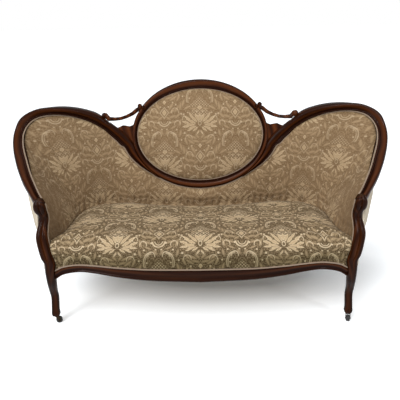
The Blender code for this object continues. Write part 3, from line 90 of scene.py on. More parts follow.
# Wing rail stations: outer edge then inner edge, in shares of the sizes above
ARM_STATION_SHARES = (
    (0.125, -0.039, -0.003, -0.125, -0.039, -0.006),
    (0.293, 0.049, 0.070, 0.076, 0.049, 0.089),
    (0.484, 0.146, 0.174, 0.255, 0.156, 0.199),
    (0.630, 0.234, 0.254, 0.402, 0.244, 0.306),
    (0.788, 0.351, 0.358, 0.543, 0.351, 0.425),
    (0.935, 0.488, 0.486, 0.690, 0.478, 0.547),
    (1.000, 0.585, 0.621, 0.761, 0.585, 0.645),
    (0.984, 0.660, 0.749, 0.755, 0.650, 0.728),
    (0.897, 0.718, 0.872, 0.679, 0.706, 0.807),
    (0.707, 0.765, 0.954, 0.533, 0.755, 0.869),
)
CREST_STATION_SHARES = (
    (0.796, 0.806, 1.000, 0.759, 0.800, 0.769),
    (0.669, 0.849, 1.000, 0.657, 0.849, 0.756),
    (0.541, 0.890, 0.946, 0.557, 0.890, 0.688),
    (0.414, 0.933, 0.837, 0.453, 0.929, 0.580),
    (0.297, 0.970, 0.668, 0.345, 0.962, 0.444),
    (0.197, 1.001, 0.369, 0.249, 0.986, 0.241),
    (0.125, 1.007, 0.173, 0.179, 0.991, -0.003),
    (0.052, 0.997, -0.044, 0.110, 0.986, -0.220),
)
# The tail that follows the medallion: share of a quarter turn, width
TAIL_SHARES = (
    (0.119, 0.78),
    (0.210, 0.75),
    (0.311, 0.50),
    (0.411, 0.28),
    (0.500, 0.14),
    (0.580, 0.06),
    (0.780, 0.0),
    (1.000, 0.0),
)
RAIL_LAST_STATION = 23
# Plan of the seat's edge: wing rail station, share of ARM_X, share of BACK_DEPTH
SEAT_PLAN_SHARES = (
    (0, 0.966, -0.070),
    (3, 0.901, 0.254),
    (6, 0.893, 0.566),
    (9, 0.863, 0.761),
    (12, 0.773, 0.917),
    (14, 0.676, 0.976),
    (17, 0.526, 0.964),
    (21, 0.368, 0.925),
    (25, 0, 0.859),
)
# Front rail: share of its half length, bow, rise of its foot, height of the show band
FRONT_RAIL_SHARES = (
    (0.000, 0.00, 0.00, 1.00),
    (0.318, 0.07, 0.22, 0.88),
    (0.515, 0.22, 0.56, 0.76),
    (0.674, 0.40, 1.00, 0.61),
    (0.773, 0.56, 1.06, 0.57),
    (0.879, 0.80, 0.56, 0.61),
    (0.939, 0.93, -0.20, 0.70),
    (1.000, 1.05, -0.75, 0.72),
)
FRONT_RAIL_END_SHARE = 0.955
POST_SPLAY = 0.026
CABRIOLE_THROW = 0.050
POST_WIDTH = 0.051
POST_DEPTH = 0.060
POST_TOP_RISE = 0.020
GROOVE_DEPTH = 0.006
CASTER_HEIGHT = 0.038
FRONT_RAIL_DEPTH = 0.036
RAIL_UNDERSIDE = HEIGHT * 0.280
TACKING_SETBACK = 0.014
BITE = 0.006

# Front post: level, shift towards the middle, width, throw, depth, depth of its groove
POST_SHARES = (
    (0.000, 0.74, 0.62, 0.00, 0.54, 0),
    (0.020, 0.75, 0.72, 0.00, 0.60, 0),
    (0.056, 0.72, 0.66, 0.06, 0.54, 0),
    (0.150, 0.73, 0.66, 0.24, 0.51, 0),
    (0.214, 0.69, 0.68, 0.02, 0.55, 0),
    (0.314, 0.88, 0.76, -0.58, 0.70, 0),
    (0.424, 1.02, 0.82, -0.96, 0.86, 0.1),
    (0.500, 1.12, 0.88, -1.03, 0.93, 0.4),
    (0.550, 0.72, 0.95, -1.02, 0.96, 0.8),
    (0.643, 0.34, 0.96, -0.98, 0.97, 1.0),
    (0.717, 0.14, 0.95, -0.85, 0.90, 1.0),
    (0.780, 0.24, 0.84, -0.52, 0.76, 0.8),
    (0.830, 0.44, 0.74, -0.26, 0.67, 0.5),
    (0.868, 0.36, 0.82, -0.26, 0.72, 0.6),
    (0.900, 0.12, 1.00, -0.38, 0.82, 1.0),
    (0.935, 0.04, 1.02, -0.50, 0.88, 1.0),
    (0.970, 0.00, 0.90, -0.50, 0.82, 0.6),
    (1.000, 0.00, 0.56, -0.44, 0.52, 0),
)
# Right half of the post's outline, from its front: x, y, share of the groove
POST_OUTLINE_SHARES = (
    (0.00, -0.97, 1.0),
    (0.30, -1.00, 0.0),
    (0.66, -0.92, 0.0),
    (0.92, -0.62, 0.0),
    (1.00, -0.12, 0.0),
    (0.98, 0.42, 0.0),
    (0.76, 0.86, 0.0),
    (0.34, 1.00, 0.0),
)
# Profile of the front rail's show band: setback, level
BAND_PROFILE_SHARES = (
    (0.45, 0.00),
    (0.10, 0.08),
    (0.00, 0.20),
    (0.22, 0.32),
    (0.30, 0.48),
    (0.12, 0.68),
    (0.00, 0.84),
    (0.20, 0.97),
)
# Mouldings: share of the width from the inner edge, rise above the face
MOULDING_SHARES = (
    (0.00, -0.9),
    (0.05, -0.1),
    (0.13, 0.1),
    (0.20, -0.3),
    (0.25, -0.7),
    (0.32, -0.5),
    (0.48, 0.3),
    (0.66, 0.9),
    (0.82, 0.7),
    (0.94, -0.3),
    (1.00, -1.5),
)
RING_MOULDING_SHARES = (
    (0.00, -0.9),
    (0.04, -0.2),
    (0.10, 0.0),
    (0.16, -0.4),
    (0.22, -0.2),
    (0.40, 0.4),
    (0.60, 0.7),
    (0.80, 0.5),
    (0.94, -0.4),
    (1.00, -1.4),
)
# How far the wing rail's inner edge is filled out near the medallion: station, share
RAIL_FILLET_SHARES = (
    (0, 0.0),
    (12, 0.0),
    (13, 0.15),
    (14, 0.45),
    (14.5, 0.57),
    (15.5, 0.57),
    (16.5, 0.50),
    (17, 0.64),
    (17.5, 0.88),
    (17.9, 1.0),
    (18.25, 0.92),
    (18.6, 0.72),
    (19, 0.50),
    (20, 0.33),
    (21, 0.15),
    (22, 0.0),
    (25, 0.0),
)
RAIL_FILLET = 0.021
MOULDING_STEPS = 40
WING_SECTIONS = 260
RING_SECTIONS = 220
POST_SECTIONS = 160
POST_SPOTS = 28
FRONT_RAIL_SECTIONS = 220
FRONT_RAIL_SPOTS = 24
SHARP_ANGLE = math.radians(50)
WELD = 0.00005


def curve_at(rows, place):
    """The row at a place along a smooth curve through rows whose first value is their place."""
    last = len(rows) - 1
    i = max(0, min(last - 1, sum(row[0] <= place for row in rows) - 1))
    before = rows[max(i - 1, 0)]
    start = rows[i]
    end = rows[i + 1]
    after = rows[min(i + 2, last)]
    span = end[0] - start[0]
    t = (place - start[0]) / span
    result = []
    for column in range(1, len(start)):
        slope_in = (end[column] - before[column]) / (end[0] - before[0]) * span
        slope_out = (after[column] - start[column]) / (after[0] - start[0]) * span
        result.append(
            (2 * t**3 - 3 * t**2 + 1) * start[column]
            + (t**3 - 2 * t**2 + t) * slope_in
            + (3 * t**2 - 2 * t**3) * end[column]
            + (t**3 - t**2) * slope_out
        )
    return result


def indexed(rows):
    return [(i, *row) for i, row in enumerate(rows)]


def steps(first, last, count):
    return [first + (last - first) * i / count for i in range(count + 1)]


def turns(count):
    return steps(0, 1, count)[:-1]


def on_medallion(x, up, out=0.0):
    return Vector((x, MEDALLION_Y, MEDALLION_Z)) + RAKE_UP * up + RAKE_FRONT * out


def oval(turn, half_width, half_height):
    angle = math.tau * turn
    return half_width * math.cos(angle), half_height * math.sin(angle)


def inner_oval(turn, inset=0.0):
    half_height = OVAL_HALF_HEIGHT - (CREST_BAND + FOOT_BAND) / 2
    drop = (CREST_BAND - FOOT_BAND) / 2
    x, up = oval(turn, OVAL_HALF_WIDTH - SIDE_BAND - inset, half_height - inset)
    return x, up - drop


def arm_point(x, y, z):
    return (
        ARM_X + x * (HALF_WIDTH - ARM_X),
        FOOT_Y + y * BACK_DEPTH,
        ARM_HEIGHT + z * (LOBE_HEIGHT - ARM_HEIGHT),
    )


def crest_point(x, y, z):
    return (
        OVAL_HALF_WIDTH + x * (HALF_WIDTH - OVAL_HALF_WIDTH),
        FOOT_Y + y * BACK_DEPTH,
        MEDALLION_Z + z * (LOBE_HEIGHT - MEDALLION_Z),
    )


def tail_points(turn_share, width_share):
    angle = -turn_share * math.pi / 2
    x = OVAL_HALF_WIDTH * math.cos(angle)
    up = OVAL_HALF_HEIGHT * math.sin(angle)
    away = Vector((math.cos(angle) / OVAL_HALF_WIDTH, math.sin(angle) / OVAL_HALF_HEIGHT))
    away.normalize()
    width = width_share * RAIL_THICKNESS
    outer = on_medallion(x, up)
    inner = on_medallion(x + away.x * width, up + away.y * width)
    return (*outer, *inner)


def rail_stations():
    rows = [arm_point(*r[:3]) + arm_point(*r[3:]) for r in ARM_STATION_SHARES]
    rows += [crest_point(*r[:3]) + crest_point(*r[3:]) for r in CREST_STATION_SHARES]
    rows += [tail_points(*r) for r in TAIL_SHARES]
    return indexed(rows)


RAIL_STATIONS = rail_stations()
LAST_STATION = len(RAIL_STATIONS) - 1
TAIL_START = LAST_STATION - len(TAIL_SHARES)
STATION_STEP = 0.25


def rail_edges(station):
    """The wing rail's outer and inner edge at a station, and the way its face looks."""
    station = min(max(station, 0), LAST_STATION)
    row = curve_at(RAIL_STATIONS, station)
    outer = Vector(row[:3])
    inner = Vector(row[3:])
    ahead = curve_at(RAIL_STATIONS, min(station + STATION_STEP, LAST_STATION))
    behind = curve_at(RAIL_STATIONS, max(station - STATION_STEP, 0))
    tangent = (Vector(ahead[:3]) + Vector(ahead[3:])) - (Vector(behind[:3]) + Vector(behind[3:]))
    face = (outer - inner).cross(tangent)
    face = face.normalized() if face.length > 0 else RAKE_FRONT.copy()
    if station > TAIL_START:
        face = face.lerp(RAKE_FRONT, min(station - TAIL_START, 1)).normalized()
    return outer, inner, face


def plan_point(rows, station, z):
    x, y = curve_at(rows, station)
    return Vector((x * ARM_X, FOOT_Y + y * BACK_DEPTH, z))


def front_rail_at(x):
    """The y of the front rail's face, the z of its foot and its show band's height."""
    bow, rise, band = curve_at(FRONT_RAIL_SHARES, min(abs(x) / ARM_X, 1))
    front = FRONT_Y + ROLL_OVERHANG + bow * FRONT_BOW
    return front, FRONT_RAIL_FOOT + rise * FRONT_ARCH, band * SHOW_BAND_HEIGHT


def post_section(level, shift, width, throw, depth, groove):
    """The front post's middle, half width, half depth and groove at a level from 0 to 1."""
    top = ARM_HEIGHT + POST_TOP_RISE
    z = CASTER_HEIGHT + level * (top - CASTER_HEIGHT)
    middle = Vector((ARM_X - shift * POST_SPLAY, FOOT_Y + throw * CABRIOLE_THROW, z))
    return middle, width * POST_WIDTH / 2, depth * POST_DEPTH / 2, groove


def add_object(name, data):
    obj = bpy.data.objects.new(name, data)
    bpy.context.scene.collection.objects.link(obj)
    return obj


def add_mesh(name, bm, smooth=True):
    bmesh.ops.recalc_face_normals(bm, faces=bm.faces)
    mesh = bpy.data.meshes.new(name)
    bm.to_mesh(mesh)
    bm.free()
    if smooth:
        mesh.shade_smooth()
    return add_object(name, mesh)


def skin(bm, rings, closed=False):
    """Adds a surface through rings of equal counts, its ends covered unless the path is closed."""
    made = [[bm.verts.new(point) for point in ring] for ring in rings]
    count = len(rings[0])
    for i in range(len(rings) if closed else len(rings) - 1):
        here = made[i]
        there = made[(i + 1) % len(rings)]
        for j in range(count):
            k = (j + 1) % count
            bm.faces.new((here[j], here[k], there[k], there[j]))
    if not closed:
        bm.faces.new(made[0])
        bm.faces.new(made[-1])


def loft(name, rings, painted_light=(1.0,), closed=False):
    """A piece through rings of equal counts, its grain stored on it and its painted shade and
    highlight repeated.
    """
    bm = bmesh.new()
    skin(bm, rings, closed)
    obj = add_mesh(name, bm)
    obj.data.set_sharp_from_angle(angle=SHARP_ANGLE)
    count = len(rings[0])
    along = [0.0]
    for a, b in zip(rings, rings[1:]):
        along.append(along[-1] + (sum(b, Vector()) / count - sum(a, Vector()) / count).length)
    values = []
    for ring, length in zip(rings, along):
        reach = 0.0
        for j, point in enumerate(ring):
            if j:
                reach += (point - ring[j - 1]).length
            values.append((reach, 0.0, length))
    set_vector(obj.data, "lie", values)
    set_value(obj.data, "painted_light", [*painted_light] * (len(values) // len(painted_light)))
    return obj


def set_value(mesh, name, values):
    layer = mesh.attributes.get(name) or mesh.attributes.new(name, "FLOAT", "POINT")
    layer.data.foreach_set("value", np.asarray(values, np.float32))


def set_vector(mesh, name, values):
    layer = mesh.attributes.get(name) or mesh.attributes.new(name, "FLOAT_VECTOR", "POINT")
    layer.data.foreach_set("vector", np.asarray(values, np.float32).ravel())


def mirrored(obj, name):
    mesh = obj.data.copy()
    mesh.name = name
    mesh.transform(Matrix.Scale(-1, 4, Vector((1, 0, 0))))
    mesh.flip_normals()
    return add_object(name, mesh)


def vertex_places(mesh):
    places = np.empty(len(mesh.vertices) * 3, np.float32)
    mesh.vertices.foreach_get("co", places)
    return places.reshape(-1, 3).astype(float)


def vertex_normals(mesh):
    normals = np.empty(len(mesh.vertices) * 3, np.float32)
    mesh.vertices.foreach_get("normal", normals)
    return normals.reshape(-1, 3).astype(float)


def place_vertices(mesh, places):
    mesh.vertices.foreach_set("co", places.astype(np.float32).ravel())
    mesh.update()


def dress(obj, finish, body="frame"):
    """Gives a piece its material and its place on a body."""
    obj.data.materials.clear()
    obj.data.materials.append(finish)
    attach(obj, body)


def dress_pair(right, left_name, finish, nodes=None):
    """Mirrors a piece of show wood and dresses both, in place of the nodes of that name's start."""
    for obj, side in ((right, "right"), (mirrored(right, left_name), "left")):
        dress(obj, finish)
        if nodes:
            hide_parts(nodes + side)


class Field:
    """A value that varies over a surface; arithmetic on it adds Math nodes to its tree."""

    def __init__(self, tree, socket):
        self.tree = tree
        self.socket = socket

    def math(self, operation, *others, clamp=False):
        node = self.tree.nodes.new("ShaderNodeMath")
        node.operation = operation
        node.use_clamp = clamp
        for slot, value in zip(node.inputs, (self, *others)):
            if isinstance(value, Field):
                self.tree.links.new(value.socket, slot)
            else:
                slot.default_value = value
        return Field(self.tree, node.outputs[0])

    def __add__(self, other):
        return self.math("ADD", other)

    def __sub__(self, other):
        return self.math("SUBTRACT", other)

    def __mul__(self, other):
        return self.math("MULTIPLY", other)

    def __truediv__(self, other):
        return self.math("DIVIDE", other)

    def __abs__(self):
        return self.math("ABSOLUTE")

    def least(self, other):
        return self.math("MINIMUM", other)

    def most(self, other):
        return self.math("MAXIMUM", other)

    def clamped(self):
        return self.math("ADD", 0.0, clamp=True)


def add_node(tree, kind, **settings):
    node = tree.nodes.new(kind)
    for name, value in settings.items():
        setattr(node, name, value)
    return node


def link(tree, value, slot):
    if isinstance(value, Field):
        value = value.socket
    if isinstance(value, bpy.types.NodeSocket):
        tree.links.new(value, slot)
    else:
        slot.default_value = value


def node_group(name, inputs, outputs):
    """A shader node group with named sockets: each input is (name, kind, default)."""
    tree = bpy.data.node_groups.new(name, "ShaderNodeTree")
    for label, kind, default in inputs:
        socket = tree.interface.new_socket(label, in_out="INPUT", socket_type=kind)
        if default is not None:
            socket.default_value = default
    for label, kind in outputs:
        tree.interface.new_socket(label, in_out="OUTPUT", socket_type=kind)
    start = tree.nodes.new("NodeGroupInput")
    end = tree.nodes.new("NodeGroupOutput")
    return tree, start, end


def use_group(tree, group, **values):
    node = tree.nodes.new("ShaderNodeGroup")
    node.node_tree = group
    for name, value in values.items():
        link(tree, value, node.inputs[name.replace("_", " ")])
    return node


FLOAT = "NodeSocketFloat"
VECTOR = "NodeSocketVector"


def mix_colour(tree, amount, first, second, blend="MIX"):
    node = add_node(tree, "ShaderNodeMix", data_type="RGBA", blend_type=blend)
    link(tree, amount, node.inputs[0])
    link(tree, first, node.inputs[6])
    link(tree, second, node.inputs[7])
    return node.outputs[2]


def shifted(tree, vector, middle, turn, size):
    """Coordinates measured from a mark's middle, along its own axes, in its own size."""
    node = add_node(tree, "ShaderNodeMapping", vector_type="TEXTURE")
    link(tree, vector, node.inputs["Vector"])
    node.inputs["Location"].default_value = (*middle, 0)
    node.inputs["Rotation"].default_value = (0, 0, math.radians(turn))
    node.inputs["Scale"].default_value = (*size, 1)[:3]
    return node.outputs["Vector"]


def noise(tree, vector, size, detail):
    """Noise with grains of a given size in metres: flat for two numbers, solid for three."""
    node = add_node(tree, "ShaderNodeTexNoise", noise_dimensions=f"{len(size)}D")
    link(tree, shifted(tree, vector, (0, 0), 0, size), node.inputs["Vector"])
    node.inputs["Scale"].default_value = 1.0
    node.inputs["Detail"].default_value = detail
    return Field(tree, node.outputs["Fac"])


def object_place(tree):
    return add_node(tree, "ShaderNodeTexCoord").outputs["Object"]


def reach(tree, vector):
    node = add_node(tree, "ShaderNodeVectorMath", operation="LENGTH")
    link(tree, vector, node.inputs[0])
    return Field(tree, node.outputs["Value"])


def parts_of(tree, vector):
    node = add_node(tree, "ShaderNodeSeparateXYZ")
    link(tree, vector, node.inputs[0])
    return Field(tree, node.outputs[0]), Field(tree, node.outputs[1])


def oval_mark(tree, vector, middle, turn, size):
    """How far a place lies outside an oval, in metres; below 0 it is inside."""
    return (reach(tree, shifted(tree, vector, middle, turn, size)) - 1.0) * min(size)


def leaf_mark(tree, vector, middle, turn, size):
    """How far a place lies outside a leaf with two pointed ends, longer along its first axis."""
    x, y = parts_of(tree, shifted(tree, vector, middle, turn, size))
    return (x * x + abs(y) - 1.0) * size[1]


def lozenge_mark(tree, vector, middle, size):
    x, y = parts_of(tree, shifted(tree, vector, middle, 0, size))
    return (abs(x) + abs(y) - 1.0) * (min(size) * 0.7)


def outline(mark, width):
    """A line of half the given width along the edge of a mark."""
    return abs(mark) - width


def joined(marks):
    """The nearest of several marks, made one at a time to keep the shader's stack small."""
    result = None
    for mark in marks:
        result = mark if result is None else result.least(mark)
    return result


# Leaves of the damask for the right half of a motif whose flower is at the origin:
# middle, turn, half length and half width, in metres
FLOWER_LEAVES = (
    ((0.000, 0.034), 90, (0.017, 0.0070)),
    ((0.014, 0.031), 66, (0.019, 0.0062)),
    ((0.028, 0.024), 46, (0.021, 0.0062)),
    ((0.040, 0.011), 24, (0.023, 0.0062)),
    ((0.045, -0.004), 4, (0.023, 0.0058)),
    ((0.036, -0.017), -16, (0.020, 0.0054)),
    ((0.021, -0.025), -40, (0.015, 0.0048)),
    ((0.042, 0.041), 54, (0.017, 0.0052)),
    ((0.060, 0.028), 36, (0.019, 0.0054)),
    ((0.069, 0.008), 16, (0.018, 0.0052)),
    ((0.066, -0.012), -6, (0.018, 0.0048)),
    ((0.048, -0.028), -26, (0.016, 0.0044)),
    ((0.009, -0.040), -62, (0.012, 0.0040)),
)
STEM_LEAVES = (
    ((0.012, -0.060), 52, (0.015, 0.0042)),
    ((0.032, -0.064), 28, (0.018, 0.0048)),
    ((0.056, -0.060), 44, (0.018, 0.0046)),
    ((0.020, -0.084), 12, (0.018, 0.0048)),
    ((0.044, -0.086), 34, (0.019, 0.0048)),
    ((0.068, -0.084), 66, (0.018, 0.0046)),
    ((0.034, -0.124), 60, (0.021, 0.0052)),
    ((0.038, -0.150), 36, (0.018, 0.0050)),
    ((0.060, -0.140), 56, (0.020, 0.0052)),
    ((0.078, -0.126), 80, (0.020, 0.0046)),
    ((0.042, -0.176), 16, (0.018, 0.0050)),
    ((0.066, -0.172), 42, (0.019, 0.0050)),
    ((0.020, -0.184), -36, (0.014, 0.0042)),
    ((0.050, -0.202), 8, (0.018, 0.0046)),
    ((0.076, -0.206), 70, (0.018, 0.0044)),
    ((0.044, -0.228), 30, (0.017, 0.0044)),
)
SCROLL_LEAVES = (
    ((0.014, -0.252), 62, (0.014, 0.0042)),
    ((0.052, -0.262), -24, (0.013, 0.0040)),
    ((0.078, -0.256), 76, (0.017, 0.0044)),
    ((0.080, -0.322), -74, (0.019, 0.0048)),
    ((0.062, -0.347), -30, (0.018, 0.0048)),
    ((0.028, -0.352), -8, (0.015, 0.0042)),
)
# Round blossoms: middle, radius
BLOSSOMS = (
    ((0.030, -0.206), 0.0042),
    ((0.056, -0.118), 0.0040),
    ((0.074, -0.044), 0.0048),
    ((0.020, -0.128), 0.0036),
    ((0.078, 0.046), 0.0046),
    ((0.060, -0.240), 0.0040),
    ((0.012, -0.238), 0.0036),
    ((0.058, 0.055), 0.0034),
    ((0.014, 0.060), 0.0040),
    ((0.040, -0.106), 0.0034),
    ((0.083, -0.164), 0.0044),
    ((0.083, -0.290), 0.0040),
    ((0.050, -0.300), 0.0036),
)
# Curls, the upper part of an oval line: middle, half sizes
CURLS = (
    ((0.052, -0.156), (0.017, 0.022)),
    ((0.064, -0.214), (0.014, 0.018)),
    ((0.054, -0.072), (0.016, 0.019)),
    ((0.074, 0.022), (0.010, 0.016)),
)
# Lozenges of the bud: middle, half sizes
BUDS = (
    ((0, -0.157), (0.011, 0.015)),
    ((0, -0.106), (0.008, 0.011)),
    ((0, -0.347), (0.012, 0.010)),
)
# Oval lines: half sizes, half width of the line
CRESCENT_MIDDLE = (0, -0.196)
CRESCENTS = (((0.0165, 0.018), 0.0016), ((0.027, 0.027), 0.0026))
SCROLL_MIDDLE = (0.032, -0.300)
SCROLLS = (((0.032, 0.048), 0.0016), ((0.026, 0.042), 0.0010))
LOWER_CURL = (0.030, -0.268), (0.014, 0.019), 0.0015
HEART = (0, 0.003), (0.007, 0.010), 0.0014
BUD_FRAME = (0, -0.157), (0.021, 0.027)
FAN = (0, 0.056), 0, (0.040, 0.022)
# Where the lines and the beads stop, in metres
CRESCENT_TOP = -0.199
SCROLL_SIDE = 0.030
SCROLL_FOOT = -0.322
LOWER_CURL_FOOT = -0.272
CURL_DROP = 0.004
PYRAMID_TOP = -0.292
PYRAMID_FOOT = -0.343
PYRAMID_SLOPE = 0.95
FINE_LINE = 0.0013
BEAD_PITCH = 0.0098
BEAD_SHARE = 0.28
DAMASK_COLUMN = 0.172
DAMASK_REPEAT = 0.426
BELOW_FLOWER = 0.836
EDGE_SOFTNESS = 0.0022
# How ragged the woven edges are, in metres
FLOWER_RAGGED = 0.006
FOLIAGE_RAGGED = 0.011
LINES_RAGGED = 0.003
# The fine line inside each flower leaf: how far in it lies, half width
LEAF_LINE = (0.0012, 0.0007)
MOSS_CONTRAST = 7.0
MOSS_LEVEL = 0.3
RIB_PITCH = 0.0011
WARP_TO_RIBS = 0.6
RING_PITCH = 0.006
# Shares of the ribs, the warp and the slubs in the weave's height
WEAVE_SHARES = (0.6, 0.25, 0.6)
# Shares of the rings, the swirl and the pores in the wood's figure
FIGURE_SHARES = (0.45, 0.35, 0.3)
# Grain sizes of the noises, in metres
RAGGED_SIZE = (0.006, 0.006)
SLUB_SIZE = (0.03, 0.0016)
CLOUD_SIZE = (0.12, 0.12, 0.12)
SWIRL_SIZE = (0.035, 0.035, 0.22)
PORE_SIZE = (0.0022, 0.0022, 0.05)


def damask_motif():
    """One column of the damask, as marks in metres: leaves, bud, crescents, scrolls and beads."""
    tree, start, end = node_group(
        "damask_motif",
        (("Place", VECTOR, None),),
        (("Flower", FLOAT), ("Foliage", FLOAT), ("Lines", FLOAT)),
    )
    place = start.outputs["Place"]

    def oval_line(middle, size, width):
        return outline(oval_mark(tree, place, middle, 0, size), width)

    flower = joined(leaf_mark(tree, place, *leaf) for leaf in FLOWER_LEAVES)
    foliage = joined(leaf_mark(tree, place, *leaf) for leaf in STEM_LEAVES + SCROLL_LEAVES)
    bud = joined(lozenge_mark(tree, place, *lozenge) for lozenge in BUDS)
    x, y = parts_of(tree, place)
    crescents = joined(oval_line(CRESCENT_MIDDLE, *line) for line in CRESCENTS)
    crescents = crescents.most(y - CRESCENT_TOP)
    scrolls = joined(oval_line(SCROLL_MIDDLE, *line) for line in SCROLLS)
    scrolls = scrolls.most(x * -1.0 + SCROLL_SIDE).most(y * -1.0 + SCROLL_FOOT)
    curl = oval_line(*LOWER_CURL).most((y - LOWER_CURL_FOOT) * -1.0)
    heart = oval_line(*HEART)
    ring = outline(lozenge_mark(tree, place, *BUD_FRAME), FINE_LINE)
    grid = add_node(tree, "ShaderNodeTexVoronoi", voronoi_dimensions="2D")
    link(tree, shifted(tree, place, (0, 0), 45, (BEAD_PITCH, BEAD_PITCH)), grid.inputs["Vector"])
    grid.inputs["Scale"].default_value = 1.0
    grid.inputs["Randomness"].default_value = 0.0
    beads = (Field(tree, grid.outputs["Distance"]) - BEAD_SHARE) * BEAD_PITCH
    pyramid = (abs(x) * PYRAMID_SLOPE + y - PYRAMID_TOP).most(y * -1.0 + PYRAMID_FOOT)
    fan = oval_mark(tree, place, *FAN)
    berries = beads.most(pyramid.least(fan))
    blossoms = joined(oval_mark(tree, place, middle, 0, (size, size)) for middle, size in BLOSSOMS)
    curls = joined(
        oval_line(middle, size, FINE_LINE).most(y * -1.0 + middle[1] - CURL_DROP)
        for middle, size in CURLS
    )
    lines = joined((scrolls, curl, crescents, heart, ring, berries, blossoms, curls))
    link(tree, flower.least(bud), end.inputs["Flower"])
    link(tree, foliage, end.inputs["Foliage"])
    link(tree, lines, end.inputs["Lines"])
    return tree


def damask_pattern():
    """Two interleaved columns of motifs a half drop apart: their fill, and their fine lines."""
    motif = damask_motif()
    tree, start, end = node_group(
        "damask_pattern",
        (
            ("Place", VECTOR, None),
            ("Column", FLOAT, DAMASK_COLUMN),
            ("Repeat", FLOAT, DAMASK_REPEAT),
            ("Softness", FLOAT, EDGE_SOFTNESS),
        ),
        (("Flower", FLOAT), ("Foliage", FLOAT), ("Lines", FLOAT), ("Moss", FLOAT)),
    )
    x, y = parts_of(tree, start.outputs["Place"])
    column = Field(tree, start.outputs["Column"])
    repeat = Field(tree, start.outputs["Repeat"])
    soft = Field(tree, start.outputs["Softness"])
    near = x.math("PINGPONG", column)
    between = (near / column).math("GREATER_THAN", 0.5)
    drop = (y + repeat * (between * 0.5 + BELOW_FLOWER)).math("FLOORED_MODULO", repeat)
    drop = drop - repeat * BELOW_FLOWER
    place = add_node(tree, "ShaderNodeCombineXYZ")
    link(tree, near.least(column - near), place.inputs[0])
    link(tree, drop, place.inputs[1])
    rough = noise(tree, place.outputs[0], RAGGED_SIZE, 1.0) - 0.5
    used = use_group(tree, motif, Place=place.outputs[0])
    flower = Field(tree, used.outputs["Flower"]) + rough * FLOWER_RAGGED
    foliage = Field(tree, used.outputs["Foliage"]) + rough * FOLIAGE_RAGGED
    inset, width = LEAF_LINE
    lines = Field(tree, used.outputs["Lines"]).least(outline(flower + inset, width))
    lines = lines + rough * LINES_RAGGED
    for name, mark in (("Flower", flower), ("Foliage", foliage), ("Lines", lines)):
        link(tree, (mark / soft * -1.0 + 0.5).clamped(), end.inputs[name])
    link(tree, (rough * MOSS_CONTRAST + MOSS_LEVEL).clamped(), end.inputs["Moss"])
    return tree


def weave_pattern():
    """Ribs of the ground weave with slubs, as a height and a tone."""
    tree, start, end = node_group(
        "weave",
        (("Place", VECTOR, None), ("Pitch", FLOAT, RIB_PITCH)),
        (("Height", FLOAT), ("Tone", FLOAT)),
    )
    x, y = parts_of(tree, start.outputs["Place"])
    pitch = Field(tree, start.outputs["Pitch"])
    ribs = (y / pitch * math.tau).math("SINE")
    warp = (x / pitch * (math.tau * WARP_TO_RIBS)).math("SINE")
    uneven = noise(tree, start.outputs["Place"], SLUB_SIZE, 2.0)
    of_ribs, of_warp, of_slubs = WEAVE_SHARES
    link(tree, ribs * of_ribs + warp * of_warp + uneven * of_slubs, end.inputs["Height"])
    link(tree, uneven, end.inputs["Tone"])
    return tree


def wood_grain():
    """Growth rings, pores and flecks of a figured hardwood, from a grain coordinate along Z."""
    tree, start, end = node_group(
        "wood_grain",
        (("Place", VECTOR, None), ("Ring", FLOAT, RING_PITCH)),
        (("Figure", FLOAT), ("Pores", FLOAT)),
    )
    place = start.outputs["Place"]
    warp = noise(tree, place, SWIRL_SIZE, 3.0)
    x, y = parts_of(tree, place)
    bend = warp * 0.03
    rings = ((x + y * 0.7 + bend) / Field(tree, start.outputs["Ring"])).math("SINE") * 0.5 + 0.5
    pores = noise(tree, place, PORE_SIZE, 4.0)
    of_rings, of_swirl, of_pores = FIGURE_SHARES
    link(tree, rings * of_rings + warp * of_swirl + pores * of_pores, end.inputs["Figure"])
    link(tree, pores, end.inputs["Pores"])
    return tree


def new_material(name, **constants):
    """A material with its Principled shader; constants name the shader's own sockets."""
    made = bpy.data.materials.new(name)
    made.use_nodes = True
    tree = made.node_tree
    shader = tree.nodes["Principled BSDF"]
    for socket, value in constants.items():
        shader.inputs[socket.replace("_", " ")].default_value = value
    return made, tree, shader


def attribute(tree, name, output="Vector"):
    node = add_node(tree, "ShaderNodeAttribute", attribute_name=name)
    return node.outputs[output]


def bump(tree, shader, height, distance, strength=1.0):
    node = add_node(tree, "ShaderNodeBump")
    node.inputs["Distance"].default_value = distance
    node.inputs["Strength"].default_value = strength
    link(tree, height, node.inputs["Height"])
    link(tree, node.outputs["Normal"], shader.inputs["Normal"])


def ramp(tree, value, stops):
    node = add_node(tree, "ShaderNodeValToRGB")
    points = node.color_ramp.elements
    while len(points) < len(stops):
        points.new(0.5)
    for point, (position, colour) in zip(points, stops):
        point.position = position
        point.color = (*colour, 1)
    link(tree, value, node.inputs["Fac"])
    return node.outputs["Color"]


def polished_wood(name, stored=True):
    """French-polished walnut; its grain runs along the stored coordinates, or else straight up."""
    looks = bpy.context.scene.settee_wood
    stops = ((0.25, looks.shadow), (0.55, looks.body), (0.9, looks.warm))
    made, tree, shader = new_material(
        name, Specular_IOR_Level=0.03, Coat_Weight=0.06, Coat_Roughness=0.12
    )
    vector = attribute(tree, "lie") if stored else object_place(tree)
    grain = use_group(tree, groups()["grain"], Place=vector)
    colour = ramp(tree, grain.outputs["Figure"], stops)
    # Painted shade and painted highlight: the stored share mixes the darkest tone into hollows,
    # rims and backs, and less of it around the front posts' knees.
    if stored:
        shade_colour = (*looks.shadow, 1)
        colour = mix_colour(tree, attribute(tree, "painted_light", "Fac"), shade_colour, colour)
    link(tree, colour, shader.inputs["Base Color"])
    link(tree, Field(tree, grain.outputs["Pores"]) * 0.16 + 0.16, shader.inputs["Roughness"])
    bump(tree, shader, grain.outputs["Pores"], 0.0005, 0.2)
    return made


